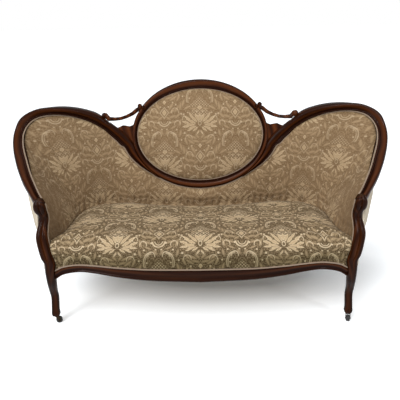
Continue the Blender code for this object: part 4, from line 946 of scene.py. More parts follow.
def damask_cloth(name, ground, shade, satin, cream, fill, line):
    """Cotton damask: a ribbed ground, a smoother, paler satin figure and its fine cream lines."""
    made, tree, shader = new_material(
        name, Sheen_Weight=0.03, Sheen_Roughness=0.45, Specular_IOR_Level=0.12
    )
    lie = attribute(tree, "lie")
    pattern = use_group(tree, groups()["pattern"], Place=lie)
    weave = use_group(tree, groups()["weave"], Place=lie)
    figure = Field(tree, attribute(tree, "figure", "Fac"))
    foliage = Field(tree, pattern.outputs["Foliage"]) * FOLIAGE_STRENGTH
    leaves = Field(tree, pattern.outputs["Flower"]).most(foliage) * figure
    lines = Field(tree, pattern.outputs["Lines"]) * figure
    moss = Field(tree, pattern.outputs["Moss"]) * figure * (MOSS_STRENGTH * fill)
    cloud = noise(tree, lie, CLOUD_SIZE, 3.0)
    base = mix_colour(tree, cloud, (*ground, 1), (*shade, 1))
    base = mix_colour(tree, moss, base, (*satin, 1))
    tone = mix_colour(tree, leaves * fill, base, (*satin, 1))
    tone = mix_colour(tree, lines * line, tone, (*cream, 1))
    tone = mix_colour(tree, Field(tree, weave.outputs["Tone"]) * 0.25, tone, (*shade, 1))
    # Painted shade: near the wood and low on the seat's front the tone is multiplied by a dark tint
    shaded_tone = mix_colour(tree, 1.0, tone, SHADE_TINT, "MULTIPLY")
    tone = mix_colour(tree, attribute(tree, "dust", "Fac"), tone, shaded_tone)
    link(tree, tone, shader.inputs["Base Color"])
    link(tree, leaves * -0.2 + 0.86, shader.inputs["Roughness"])
    bump(tree, shader, weave.outputs["Height"], 0.0004, 0.4)
    return made


def cord_material(name, light, dark):
    """Twisted gimp cord: slanting strands from the length and angle stored along it."""
    made, tree, shader = new_material(name, Sheen_Weight=0.2)
    x, y = parts_of(tree, attribute(tree, "lie"))
    strand = (x * STRANDS_PER_METRE + y).math("SINE") * 0.5 + 0.5
    tone = mix_colour(tree, strand, (*dark, 1), (*light, 1))
    link(tree, tone, shader.inputs["Base Color"])
    link(tree, strand * -0.2 + 0.8, shader.inputs["Roughness"])
    bump(tree, shader, strand, 0.0008, 0.7)
    return made


def plain_material(name, colours, roughness, size, metallic=0.0):
    """A finish with mottled colour and roughness, for iron, composition and deal."""
    made, tree, shader = new_material(name, Metallic=metallic)
    level = noise(tree, object_place(tree), size, 4.0)
    tone = mix_colour(tree, level, (*colours[0], 1), (*colours[1], 1))
    link(tree, tone, shader.inputs["Base Color"])
    link(tree, level * 0.3 + (roughness - 0.15), shader.inputs["Roughness"])
    bump(tree, shader, level, 0.0004, 0.4)
    return made


FOLIAGE_STRENGTH = 0.62
MOSS_STRENGTH = 0.45
# Tint that the painted shade multiplies into the damask
SHADE_TINT = (0.45, 0.45, 0.36, 1)
STRANDS_PER_METRE = 2200.0
GROUPS = {}


def groups():
    if not GROUPS:
        GROUPS["pattern"] = damask_pattern()
        GROUPS["weave"] = weave_pattern()
        GROUPS["grain"] = wood_grain()
    return GROUPS


def shown_edges(station):
    """The wing rail's edges as seen, the inner one filled out where it meets the medallion."""
    outer, inner, face = rail_edges(station)
    fillet = max(curve_at(RAIL_FILLET_SHARES, station)[0], 0)
    if outer != inner:
        inner = inner + (inner - outer).normalized() * (fillet * RAIL_FILLET)
    return outer, inner, face


def moulding_painted_light(rows):
    """Painted shade across a moulding, as a share of light: its hollows, rims and back are
    darkened.
    """
    rises = [curve_at(rows, w)[0] for w in steps(0, 1, MOULDING_STEPS)]
    level, gain = MOULDING_PAINTED_LIGHT
    painted_light = [min(max(level + gain * rise, LEAST_PAINTED_LIGHT), 1) for rise in rises]
    return painted_light + [HOLLOW_PAINTED_LIGHT] * 2


def moulding_ring(rows, outer, inner, face):
    """A section of a moulded rail: its face from the inner edge to the outer, then its back."""
    ring = []
    for w in steps(0, 1, MOULDING_STEPS):
        rise = curve_at(rows, w)[0] * MOULDING_RISE
        ring.append(inner + (outer - inner) * w + face * rise)
    return ring + [outer - face * RAIL_THICKNESS, inner - face * RAIL_THICKNESS]


def make_wing_rails():
    rings = []
    for station in steps(0, RAIL_LAST_STATION, WING_SECTIONS):
        outer, inner, face = shown_edges(station)
        if station > RAIL_LAST_STATION - len(TAIL_SHARES):
            outer = outer + (outer - inner).normalized() * BITE / 2
        rings.append(moulding_ring(MOULDING_SHARES, outer, inner, face))
    right = loft("wing_moulding_right", rings, moulding_painted_light(MOULDING_SHARES))
    dress_pair(right, "wing_moulding_left", polished_wood("walnut_wing"), "wing_rail_")


def make_medallion_ring():
    rings = []
    for turn in turns(RING_SECTIONS):
        outer = on_medallion(*oval(turn, OVAL_HALF_WIDTH, OVAL_HALF_HEIGHT))
        inner = on_medallion(*inner_oval(turn))
        rings.append(moulding_ring(RING_MOULDING_SHARES, outer, inner, RAKE_FRONT))
    obj = loft("medallion_moulding", rings, moulding_painted_light(RING_MOULDING_SHARES), closed=True)
    dress(obj, polished_wood("walnut_medallion"))
    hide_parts("medallion_frame")


def make_front_posts():
    rings = []
    painted_light = []
    rows = indexed(POST_SHARES)
    outline_rows = indexed(POST_OUTLINE_SHARES)
    for place in steps(0, len(rows) - 1, POST_SECTIONS):
        row = curve_at(rows, place)
        middle, half_width, half_depth, groove = post_section(*row)
        half = []
        for spot in steps(0, len(outline_rows) - 1, POST_SPOTS):
            x, y, cut = curve_at(outline_rows, spot)
            half.append((x * half_width, y * half_depth + max(cut, 0) * groove * GROOVE_DEPTH))
        shape = half + [(-x, y) for x, y in reversed(half[1:])]
        rings.append([middle + Vector((x, y, 0)) for x, y in shape])
        # Painted highlight around the knee on the post's front, painted shade on its back
        knee_level, spread, least, added = KNEE_HIGHLIGHT
        knee_light = least + added * math.exp(-(((row[0] - knee_level) / spread) ** 2))
        painted_light += [knee_light if y < 0 else UNSEEN_PAINTED_LIGHT for x, y in shape]
    right = loft("cabriole_post_right", rings, painted_light)
    dress_pair(right, "cabriole_post_left", polished_wood("walnut_posts"), "front_post_")


def make_front_rail():
    rings = []
    profile = [(level, depth) for depth, level in BAND_PROFILE_SHARES]
    levels = steps(0, profile[-1][0], FRONT_RAIL_SPOTS)
    band = [(level, curve_at(profile, level)[0]) for level in levels]
    # Painted shade: the band darkens where it is set back, and the rail's back and hidden faces
    # take the hollow share
    most, loss = BAND_PAINTED_LIGHT
    painted_light = [min(max(most - loss * depth, LEAST_PAINTED_LIGHT), 1) for _, depth in band]
    for share in steps(-FRONT_RAIL_END_SHARE, FRONT_RAIL_END_SHARE, FRONT_RAIL_SECTIONS):
        x = share * ARM_X
        front, foot, height = front_rail_at(x)
        tacking = front + TACKING_SETBACK
        back = front + FRONT_RAIL_DEPTH
        ring = [(front + depth * TACKING_SETBACK, foot + level * height) for level, depth in band]
        corners = (
            (tacking, foot + height),
            (tacking, RAIL_TOP),
            (back, RAIL_TOP),
            (back, RAIL_UNDERSIDE),
            (tacking + BITE, RAIL_UNDERSIDE),
            (tacking, foot),
        )
        rings.append([Vector((x, y, z)) for y, z in (*ring, *corners)])
    obj = loft("serpentine_rail", rings, painted_light + [HOLLOW_PAINTED_LIGHT] * len(corners))
    dress(obj, polished_wood("walnut_rail"))
    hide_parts("front_seat_rail")


# Painted highlight around the front posts' knees: level from 0 to 1, spread, share of light below
# it, share of light added
KNEE_HIGHLIGHT = (0.64, 0.16, 0.35, 0.5)
# Painted shade of the mouldings, as a share of light: at their face, and its gain with each unit of
# rise
MOULDING_PAINTED_LIGHT = (0.62, 0.45)
# Painted shade of the front rail's band, as a share of light: at its front, and its loss with each
# unit of setback
BAND_PAINTED_LIGHT = (0.75, 2.0)
# Painted shade, as shares of light: on the posts' backs, on the backs of the mouldings and the
# rail's hidden faces, and the least anywhere
UNSEEN_PAINTED_LIGHT = 0.2
HOLLOW_PAINTED_LIGHT = 0.1
LEAST_PAINTED_LIGHT = 0.05
BEAD_TURN_SHARE = 0.0866
BEAD_BAND_SHARE = 0.60
BEAD_RADIUS = 0.0105
BEAD_SIDES = 27
# Turned bead: radius, height, both in shares of BEAD_RADIUS
BEAD_PROFILE = (
    (1.00, -0.3),
    (0.98, 0.25),
    (0.80, 0.45),
    (0.66, 0.16),
    (0.52, 0.22),
    (0.42, 0.62),
    (0.22, 0.86),
    (0.06, 0.92),
)
REED_TURN_SHARES = (0.075, -0.055)
REED_BAND_SHARE = 0.86
REED_RADIUS = 0.0030
REED_SECTIONS = 60
REED_SIDES = 12
REED_TAPER = 6
REED_ENDS = (0.2, 0.1)
REED_STAND = 1.2


def along_band(turn, share):
    """A place on the medallion ring's face: share runs from its inner edge to its outer one."""
    outer = oval(turn, OVAL_HALF_WIDTH, OVAL_HALF_HEIGHT)
    inner = inner_oval(turn)
    rise = curve_at(RING_MOULDING_SHARES, share)[0] * MOULDING_RISE
    return inner[0] + (outer[0] - inner[0]) * share, inner[1] + (outer[1] - inner[1]) * share, rise


def make_carving():
    """Turned beads at the medallion's shoulders, with a reed running down from each."""
    x, up, rise = along_band(BEAD_TURN_SHARE, BEAD_BAND_SHARE)
    rings = []
    for radius, height in BEAD_PROFILE:
        ring = []
        for turn in turns(BEAD_SIDES):
            side, above = oval(turn, radius * BEAD_RADIUS, radius * BEAD_RADIUS)
            ring.append(on_medallion(x + side, up + above, rise + height * BEAD_RADIUS))
        rings.append(ring)
    bead = loft("shoulder_bead_right", rings, (0.9,))
    rings = []
    first, last = REED_TURN_SHARES
    blunt, fine = REED_ENDS
    for share in steps(0, 1, REED_SECTIONS):
        place = first + (last - first) * share
        x, up, rise = along_band(place, REED_BAND_SHARE)
        swelling = min(1, REED_TAPER * share + blunt, REED_TAPER * (1 - share) + fine)
        radius = REED_RADIUS * swelling
        away_x, away_up = oval(place, 1, 1)
        ring = []
        for turn in turns(REED_SIDES):
            side, out = oval(turn, radius, radius * REED_STAND)
            ring.append(on_medallion(x + away_x * side, up + away_up * side, rise + out))
        rings.append(ring)
    reed = loft("shoulder_reed_right", rings)
    finish = polished_wood("walnut_carving")
    for piece in (bead, reed):
        dress_pair(piece, piece.name.replace("right", "left"), finish)


# Finishes: dark and light colour, roughness, size of the mottling in metres, metallic
DEAL_FINISH = ((0.42, 0.27, 0.14), (0.55, 0.38, 0.21)), 0.75, (0.004, 0.05, 0.004)
SPRING_FINISH = ((0.25, 0.22, 0.20), (0.42, 0.38, 0.34)), 0.45, (0.01, 0.01, 0.01), 1.0
BRONZE_FINISH = ((0.012, 0.008, 0.005), (0.050, 0.033, 0.020)), 0.5, (0.006, 0.006, 0.006), 1.0
WHEEL_FINISH = ((0.004, 0.0035, 0.003), (0.012, 0.010, 0.008)), 0.7, (0.004, 0.004, 0.004)
JUTE_LIGHT = (0.42, 0.32, 0.19)
JUTE_DARK = (0.20, 0.14, 0.075)
PLAIN_WOOD = ("spandrel_", "bridge_", "rear_post_")
DEAL = ("side_seat_rail_", "back_seat_rail", "stay_rail", "centre_stile", "arm_stay_")
TACKED_TO = (
    "wing_rail",
    "medallion_frame",
    "front_post",
    "front_seat_rail",
    "side_seat",
    "back_seat",
)


def starting(starts):
    return [name for name in sorted(NODES) if name.startswith(starts)]


def repaint(starts, finish):
    """Gives a finish to the CAD nodes that stay as they are."""
    for name in starting(starts):
        obj = NODES[name]
        obj.data.materials.clear()
        obj.data.materials.append(finish)


def make_other_wood():
    repaint(PLAIN_WOOD, polished_wood("walnut_turned", stored=False))
    repaint(DEAL, plain_material("deal", *DEAL_FINISH))


def wood_tree():
    """The faces of everything that the cloth is tacked to, for finding its edges."""
    bm = bmesh.new()
    for name in starting(TACKED_TO):
        bm.from_mesh(NODES[name].data)
    tree = BVHTree.FromBMesh(bm)
    bm.free()
    return tree


def start_shape(nodes, name, inset, voxel):
    """A slightly smaller copy of a cushion's CAD solids, grown together, in small even faces."""
    bm = bmesh.new()
    for node in nodes:
        bm.from_mesh(NODES[node].data)
    bmesh.ops.remove_doubles(bm, verts=bm.verts, dist=WELD)
    obj = add_mesh(name, bm)
    shell = obj.modifiers.new("grid", "REMESH")
    shell.mode = "VOXEL"
    shell.voxel_size = voxel
    bake(obj)
    relax(obj.data, RELAX_ROUNDS, RELAX_AMOUNT)
    swell(obj.data, -inset)
    obj.data.shade_smooth()
    return obj


def bake(obj):
    """Applies every modifier on an object."""
    bpy.context.view_layer.update()
    graph = bpy.context.evaluated_depsgraph_get()
    mesh = bpy.data.meshes.new_from_object(obj.evaluated_get(graph))
    obj.modifiers.clear()
    obj.data = mesh


def relax(mesh, rounds, amount):
    """Evens out a mesh by drawing each vertex towards its neighbours' middle."""
    edges = np.empty(len(mesh.edges) * 2, np.int32)
    mesh.edges.foreach_get("vertices", edges)
    a, b = edges.reshape(-1, 2).T
    places = vertex_places(mesh)
    count = np.bincount(np.concatenate((a, b)), minlength=len(places))[:, None]
    for _ in range(rounds):
        total = np.zeros_like(places)
        for axis in range(3):
            total[:, axis] = np.bincount(a, places[b, axis], len(places))
            total[:, axis] += np.bincount(b, places[a, axis], len(places))
        places += (total / np.maximum(count, 1) - places) * amount
    place_vertices(mesh, places)


def swell(mesh, distance):
    place_vertices(mesh, vertex_places(mesh) + vertex_normals(mesh) * distance)


def stuff(cushions, pressure):
    """Swells the cushions together as cloth over stuffing, held where each is tacked.

    Each cushion comes with the vertices that are held and the most that the rest may move.
    """
    starts = []
    for obj, held, _ in cushions:
        group = obj.vertex_groups.new(name="tacked")
        group.add([int(i) for i in np.flatnonzero(held)], 1.0, "REPLACE")
        cloth = obj.modifiers.new("stuffing", "CLOTH")
        cloth.settings.quality = CLOTH_QUALITY
        cloth.settings.mass = COTTON_MASS
        cloth.settings.use_pressure = True
        cloth.settings.uniform_pressure_force = pressure
        cloth.settings.vertex_group_mass = "tacked"
        cloth.settings.effector_weights.gravity = 0
        cloth.collision_settings.use_collision = False
        cloth.point_cache.frame_start = 1
        cloth.point_cache.frame_end = STUFFING_FRAMES
        starts.append(vertex_places(obj.data))
    scene = bpy.context.scene
    for number in range(1, STUFFING_FRAMES + 1):
        scene.frame_set(number)
    for (obj, _, cap), start in zip(cushions, starts):
        bake(obj)
        move = vertex_places(obj.data) - start
        length = np.linalg.norm(move, axis=1)[:, None]
        limited = cap * np.tanh(length / cap)
        move *= limited / np.maximum(length, 1e-9)
        place_vertices(obj.data, start + move)
        obj.vertex_groups.clear()
    scene.frame_set(1)


def near_wood(places, wood, distance):
    return np.array([wood.find_nearest(Vector(p), distance)[0] is not None for p in places])


def back_line():
    """Plan of the inside cloth half way up, with its length from the middle of the back."""
    points = []
    for station in steps(LAST_STATION, 0, BACK_LINE_STEPS):
        inner = rail_edges(station)[1]
        foot = plan_point(SEAT_PLAN_SHARES, station, SEAT_HEIGHT)
        middle = foot.lerp(inner, 0.5)
        points.append((middle.x, middle.y))
    line = np.array(points)
    lengths = np.concatenate(((0,), np.cumsum(np.linalg.norm(np.diff(line, axis=0), axis=1))))
    return line, lengths


def lie_along_back(places):
    """Cloth coordinates of the inside arms and back: along the plan line, and up."""
    line, lengths = back_line()
    side = np.sign(places[:, 0])
    spots = np.column_stack((np.abs(places[:, 0]), places[:, 1]))
    best = np.full(len(spots), 1e9)
    along = np.zeros(len(spots))
    for a, b, length in zip(line, line[1:], lengths):
        step = b - a
        t = np.clip(((spots - a) @ step) / (step @ step), 0, 1)
        gap = np.linalg.norm(spots - (a + t[:, None] * step), axis=1)
        closer = gap < best
        best = np.where(closer, gap, best)
        along = np.where(closer, length + t * np.linalg.norm(step), along)
    return flat(along * side, (places[:, 2] - BACK_MIDDLE) * BACK_SLANT)


def flat(across, up):
    return np.column_stack((across, up, np.zeros(len(up))))


def lie_on_seat(places):
    drop = np.minimum(places[:, 2] - (SEAT_HEIGHT - SEAT_ROLL_DROP), 0)
    return flat(places[:, 0] + DAMASK_COLUMN, places[:, 1] + SEAT_PHASE + drop)


def lie_on_medallion(places):
    offset = places - np.array((0, MEDALLION_Y, MEDALLION_Z))
    return flat(offset[:, 0], offset @ np.array(RAKE_UP) - MEDALLION_PHASE)


BACK_LINE_STEPS = 120
STUFFING_FRAMES = 20
COTTON_MASS = 0.3
CLOTH_QUALITY = 4
RELAX_ROUNDS = 3
RELAX_AMOUNT = 0.5
CUSHION_GRID = 0.006
BACK_MIDDLE = 0.62
BACK_SLANT = 1.03
SEAT_ROLL_DROP = 0.004
SEAT_PHASE = 0.125
MEDALLION_PHASE = 0.045
# Name, CAD nodes, the most the cloth may move, finish, its tones, strength of fill and of lines
CUSHIONS = (
    ("seat_cushion", ("seat_pad",), 0.012, "damask_seat", "seat_", 0.95, 0.85),
    (
        "inside_cushion",
        ("inside_back", "inside_arm_left", "inside_arm_right"),
        0.009,
        "damask_back",
        "",
        0.84,
        0.38,
    ),
    ("medallion_cushion", ("medallion_pad",), 0.010, "damask_medallion", "", 0.80, 0.46),
)
EYE = (0, -0.45, 0.75)
# How squarely a face has to look up, to the front or at the eye to count as shown
SEAT_UP_FACING = 0.15
SEAT_FRONT_FACING = 0.3
MEDALLION_FACING = 0.2
INSIDE_FACING = 0.25
SEAT_FRONT_Y = -0.2
TACKING_REACH = 0.008
# The figure wears off towards the arms' fronts: y where it starts, length, loss
ARM_FADE = (-0.02, 0.14, 0.75)
EDGE_FULLNESS = 0.0015
# Painted shade on the cloth: reach from the wood and darkness at it, then darkness, depth from the
# front, blend and drop of the shade low on the seat's front
SHADE_REACH = 0.022
SHADE_AT_WOOD = 0.45
FRONT_SHADE = 0.85
FRONT_SHADE_DEPTH = 0.10
FRONT_SHADE_BLEND = 0.06
FRONT_SHADE_DROP = 0.050
CREASE_RISE = 0.014
TUCK_REACH = 0.030
TUCK_PITCH = 0.034
TUCK_DEPTH = 0.010
TUCK_DRIFT = 1.2
TUCK_DRIFT_RATE = 23


def shown_side(name, places, normals):
    """The vertices of a cushion's shown side, which is free to swell."""
    if name == "seat_cushion":
        rolled = (normals[:, 1] < -SEAT_FRONT_FACING) & (places[:, 1] < SEAT_FRONT_Y)
        return (normals[:, 2] > SEAT_UP_FACING) | rolled
    if name == "medallion_cushion":
        return normals @ np.array(RAKE_FRONT) > MEDALLION_FACING
    towards = np.array(EYE) - places
    far = np.linalg.norm(towards, axis=1)
    return (normals * towards).sum(axis=1) > INSIDE_FACING * far


def make_cushions():
    looks = bpy.context.scene.settee_cloth
    wood = wood_tree()
    cushions = []
    for name, nodes, most, *_ in CUSHIONS:
        obj = start_shape(nodes, name, looks.slack, CUSHION_GRID)
        places = vertex_places(obj.data)
        free = shown_side(name, places, vertex_normals(obj.data))
        cushions.append((obj, ~free | near_wood(places, wood, TACKING_REACH), most))
    stuff(cushions, looks.pressure)
    for (obj, _, _), (name, nodes, _, finish, tones, fill, line) in zip(cushions, CUSHIONS):
        swell(obj.data, looks.slack + EDGE_FULLNESS)
        places = vertex_places(obj.data)
        figure = np.ones(len(places))
        if name == "seat_cushion":
            lie = lie_on_seat(places)
        elif name == "medallion_cushion":
            lie = lie_on_medallion(places)
        else:
            lie = lie_along_back(places)
            first, length, loss = ARM_FADE
            figure = 1 - loss * np.clip((first - places[:, 1]) / length, 0, 1)
            gather(obj.data, places, lie)
        set_vector(obj.data, "lie", lie)
        set_value(obj.data, "figure", figure)
        # Painted shade, stored for the damask to darken
        set_value(obj.data, "dust", painted_shade_on(name, places, wood))
        smooth = obj.modifiers.new("smooth", "SUBSURF")
        smooth.levels = smooth.render_levels = 1
        threads = [getattr(looks, tones + thread) for thread in ("ground", "shade", "satin")]
        dress(obj, damask_cloth(finish, *threads, looks.cream, fill, line))
        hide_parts(*nodes)


def painted_shade_on(name, places, wood):
    """Painted shade on the cloth: darker where it rolls in to the wood, and low on the seat's front
    where it turns under.
    """
    near = [wood.find_nearest(Vector(p), SHADE_REACH)[3] for p in places]
    dust = [0 if gap is None else SHADE_AT_WOOD * (1 - gap / SHADE_REACH) for gap in near]
    if name == "seat_cushion":
        front = np.clip((FRONT_Y + FRONT_SHADE_DEPTH - places[:, 1]) / FRONT_SHADE_BLEND, 0, 1)
        low = np.clip((SEAT_HEIGHT - CREASE_RISE - places[:, 2]) / FRONT_SHADE_DROP, 0, 1)
        return np.maximum(dust, FRONT_SHADE * front * low)
    return dust


def gather(mesh, places, lie):
    """Draws the inside cloth into small tucks where it goes down behind the seat."""
    near = np.clip(1 - np.abs(places[:, 2] - SEAT_HEIGHT - CREASE_RISE) / TUCK_REACH, 0, 1)
    folds = lie[:, 0] / TUCK_PITCH * math.tau + TUCK_DRIFT * np.sin(lie[:, 0] * TUCK_DRIFT_RATE)
    wave = np.clip(np.cos(folds), 0, 1)
    swell(mesh, -(TUCK_DEPTH * near * wave)[:, None])


COVER_SHARP_ANGLE = math.radians(40)
OUTSIDE = ("outside_arm_left", "outside_arm_right", "outside_back", "medallion_back")


def make_outside_covers():
    looks = bpy.context.scene.settee_cloth
    threads = (looks.outside, looks.outside_shade, looks.outside, looks.cream)
    finish = damask_cloth("damask_outside", *threads, 0.5, 0.3)
    for node in OUTSIDE:
        mesh = NODES[node].data.copy()
        obj = add_object(node + "_cover", mesh)
        bm = bmesh.new()
        bm.from_mesh(mesh)
        bmesh.ops.remove_doubles(bm, verts=bm.verts, dist=WELD)
        bm.to_mesh(mesh)
        bm.free()
        mesh.shade_smooth()
        mesh.set_sharp_from_angle(angle=COVER_SHARP_ANGLE)
        places = vertex_places(mesh)
        lie = lie_on_medallion(places) if node == "medallion_back" else lie_along_back(places)
        set_vector(mesh, "lie", lie)
        set_value(mesh, "figure", np.ones(len(places)))
        dress(obj, finish)
        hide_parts(node)


# Tacked cloths under and over the springs: CAD node, sag, pitch of the weave
STRETCHED = (
    ("dust_cover", 0.006, 0.0016),
    ("spring_deck", -0.001, 0.0020),
    ("seat_webbing", 0.0008, 0.0024),
)
SHEET_GRID = 0.030


def hessian_cloth(name, pitch):
    """Coarse jute: open plain weave with thick and thin yarns."""
    made, tree, shader = new_material(name, Specular_IOR_Level=0.1)
    weave = use_group(tree, groups()["weave"], Place=attribute(tree, "lie"), Pitch=pitch)
    height = Field(tree, weave.outputs["Height"])
    tone = mix_colour(tree, height.clamped(), (*JUTE_DARK, 1), (*JUTE_LIGHT, 1))
    link(tree, tone, shader.inputs["Base Color"])
    link(tree, Field(tree, weave.outputs["Tone"]) * 0.15 + 0.80, shader.inputs["Roughness"])
    bump(tree, shader, height, 0.0006, 0.6)
    return made


def stretched_cloth(node, sag):
    """A tacked cloth in its CAD solid's space, in a fine grid and let down towards its middle."""
    bm = bmesh.new()
    bm.from_mesh(NODES[node].data)
    bmesh.ops.remove_doubles(bm, verts=bm.verts, dist=WELD)
    bmesh.ops.triangulate(bm, faces=bm.faces)
    low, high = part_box(node)
    for axis in (0, 1):
        normal = Vector((1 - axis, axis, 0))
        for place in np.arange(low[axis] + SHEET_GRID, high[axis], SHEET_GRID):
            parts = bm.verts[:] + bm.edges[:] + bm.faces[:]
            bmesh.ops.bisect_plane(bm, geom=parts, plane_co=normal * float(place), plane_no=normal)
    values = []
    for vert in bm.verts:
        fall = 1.0
        for axis in (0, 1):
            fall *= 1 - (2 * (vert.co[axis] - low[axis]) / (high[axis] - low[axis]) - 1) ** 2
        values.append(tuple(vert.co.xy) + (0.0,))
        vert.co.z -= sag * fall
    obj = add_mesh(node.replace("seat_", "") + "_cloth", bm)
    obj.data.set_sharp_from_angle(angle=SHARP_ANGLE)
    set_vector(obj.data, "lie", values)
    return obj


FACING_ENDS = (0.052, 0.004)
FACING_HEIGHT = 0.040
FACING_DEPTH = 0.030
FACING_SETBACK = 0.006
FACING_SIDES = 24
FACING_SHARES = (0.0, 0.12, 0.5, 0.88, 1.0)


def make_corner_facings():
    """Small stuffed facings that fill the corner between the seat, its rail and each post."""
    looks = bpy.context.scene.settee_cloth
    threads = (looks.outside_shade, looks.ground, looks.outside, looks.cream)
    finish = damask_cloth("damask_facing", *threads, 0.4, 0.3)
    first, last = FACING_ENDS
    rings = []
    for share in FACING_SHARES:
        x = ARM_X - first + (first - last) * share
        front, foot, height = front_rail_at(x)
        y = front + FACING_DEPTH / 2 + FACING_SETBACK
        z = foot + height + FACING_HEIGHT / 2 - FACING_SETBACK
        full = 1 - 0.25 * (2 * share - 1) ** 4
        ring = []
        for turn in turns(FACING_SIDES):
            across, up = oval(turn, 1, 1)
            bulk = (across**4 + up**4) ** -0.25 * full / 2
            place = (x, y + across * bulk * FACING_DEPTH, z + up * bulk * FACING_HEIGHT)
            ring.append(Vector(place))
        rings.append(ring)
    right = loft("seat_facing_right", rings)
    set_vector(right.data, "lie", [(p.co.x, p.co.z, 0.0) for p in right.data.vertices])
    set_value(right.data, "figure", np.ones(len(right.data.vertices)))
    for obj in (right, mirrored(right, "seat_facing_left")):
        dress(obj, finish)


def make_springing():
    for node, sag, pitch in STRETCHED:
        obj = stretched_cloth(node, sag)
        dress(obj, hessian_cloth("hessian_" + node, pitch))
        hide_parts(node)
    repaint(("seat_spring",), plain_material("spring_steel", *SPRING_FINISH))


def make_casters():
    bronze = plain_material("bronzed_iron", *BRONZE_FINISH)
    repaint(("caster_socket", "caster_fork", "caster_axle"), bronze)
    repaint(("caster_wheel",), plain_material("wheel_composition", *WHEEL_FINISH))


def double_cord(name, path, outward, radius, closed=False):
    """Two twisted cords side by side along a path; outward is the way the gimp faces."""
    last = len(path) - 1
    angles = [math.tau * turn for turn in turns(CORD_SIDES)]
    bm = bmesh.new()
    values = []
    for which in (-1, 1):
        rings = []
        along = 0.0
        for i, (point, up) in enumerate(zip(path, outward)):
            ahead = path[(i + 1) % len(path)] if closed else path[min(i + 1, last)]
            behind = path[i - 1] if closed or i else path[0]
            tangent = (ahead - behind).normalized()
            across = tangent.cross(up).normalized()
            rise = across.cross(tangent).normalized()
            middle = point + across * (which * radius * CORD_SPREAD)
            if i:
                along += (point - path[i - 1]).length
            ring = []
            for angle in angles:
                out = across * math.cos(angle) + rise * math.sin(angle)
                ring.append(middle + out * radius)
                values.append((along, angle * which, 0.0))
            rings.append(ring)
        skin(bm, rings, closed)
    obj = add_mesh(name, bm)
    set_vector(obj.data, "lie", values)
    return obj


CORD_SIDES = 10
CORD_SPREAD = 0.92
GIMP_SECTIONS = 300
WING_GIMP_SECTIONS = 420
POST_GIMP_SECTIONS = 120
# Where the gimp lies from the wood and the cloth, in radii of its cord
MEDALLION_GIMP_INSET = 1.6
WING_GIMP_INSET = 1.5
GIMP_RISE = 1.7
POST_GIMP_GAP = 0.3
SEAT_GIMP_SETOUT = 0.2
SEAT_GIMP_RISE = 2.0
POST_GIMP_FACE = Vector((-0.5, -0.87, 0)).normalized()
POST_GIMP_DEPTH_SHARE = 0.15
POST_GIMP_SETOUT = 0.004
SEAT_GIMP_INSET = 0.024
POST_GIMP_LEVELS = (0.965, 0.475)


def medallion_gimp(radius):
    path = []
    for turn in turns(GIMP_SECTIONS):
        x, up = inner_oval(turn, radius * MEDALLION_GIMP_INSET)
        path.append(on_medallion(x, up, radius * GIMP_RISE - PAD_RECESS))
    return double_cord("gimp_medallion", path, [RAKE_FRONT] * len(path), radius, closed=True)


def wing_gimp(radius):
    """One length from the right arm along the wing, under the medallion and up the left wing."""
    path = []
    faces = []
    for station in steps(0, LAST_STATION, WING_GIMP_SECTIONS):
        outer, inner, face = shown_edges(station)
        across = outer - inner
        away = across.normalized() if across.length > BITE else RAKE_UP
        rise = radius * GIMP_RISE - PAD_RECESS
        path.append(inner - away * (radius * WING_GIMP_INSET) + face * rise)
        faces.append(face)
    for rows in (path, faces):
        rows += [Vector((-row.x, row.y, row.z)) for row in reversed(rows[:-1])]
    return double_cord("gimp_wings", path, faces, radius)


def post_gimp(name, side, radius):
    path = []
    for level in steps(*POST_GIMP_LEVELS, POST_GIMP_SECTIONS):
        middle, half_width, half_depth, _ = post_section(level, *curve_at(POST_SHARES, level))
        x = middle.x - half_width - radius * POST_GIMP_GAP
        y = middle.y + half_depth * POST_GIMP_DEPTH_SHARE - POST_GIMP_SETOUT
        path.append(Vector((x * side, y, middle.z)))
    face = Vector((POST_GIMP_FACE.x * side, POST_GIMP_FACE.y, 0))
    return double_cord(name, path, [face] * len(path), radius)


def seat_gimp(radius):
    path = []
    end = ARM_X - SEAT_GIMP_INSET
    for x in steps(-end, end, GIMP_SECTIONS):
        front, foot, height = front_rail_at(x)
        y = front - radius * SEAT_GIMP_SETOUT
        path.append(Vector((x, y, foot + height + radius * SEAT_GIMP_RISE)))
    return double_cord("gimp_seat", path, [Vector((0, -1, 0))] * len(path), radius)


def make_gimp():
    looks = bpy.context.scene.settee_gimp
    radius = looks.cord_radius
    finish = cord_material("gimp_cord", looks.light, looks.dark)
    for obj in (
        medallion_gimp(radius),
        wing_gimp(radius),
        post_gimp("gimp_post_right", 1, radius),
        post_gimp("gimp_post_left", -1, radius),
        seat_gimp(radius),
    ):
        dress(obj, finish)


FLOOR_HALF_SIZE = 40
FLOOR_COLOUR = (0.90, 0.94, 0.98, 1)
SHADOW_MIDDLE = (0.10, 0.30)
SHADOW_HALF_SIZE = (0.40, 0.17)
# How the floor's lift grows with the distance from the shadow: slope, start
FLOOR_FADE = (0.80, 0.92)
# Long narrow lamps that draw the gloss along the mouldings: name, place, size
LAMPS = (
    ("left_lamp", (-1.9, -2.4, 2.0), (0.07, 1.3)),
    ("right_lamp", (2.1, -2.2, 1.9), (0.07, 1.3)),
    ("top_lamp", (0.2, -0.9, 3.0), (1.6, 0.07)),
)
LAMPS_AIM = Vector((0, 0, 0.5))
KEY_WAY = Vector((0.45, 0.78, -1.0))
KEY_ANGLE = math.radians(32)
SENSOR_WIDTH = 36
CAMERA_PLACE = (0.033, -2.662, 1.329)
CAMERA_PITCH = math.radians(17.58)
CAMERA_YAW = math.radians(-0.76)
CAMERA_ROLL = math.radians(0.99)


def seen_rays(tree):
    """1 for the rays that show a thing, straight, mirrored or through glass, 0 for the others."""
    path = add_node(tree, "ShaderNodeLightPath")
    seen = Field(tree, path.outputs["Is Camera Ray"])
    seen = seen.most(Field(tree, path.outputs["Is Glossy Ray"]))
    return seen.most(Field(tree, path.outputs["Is Transmission Ray"]))


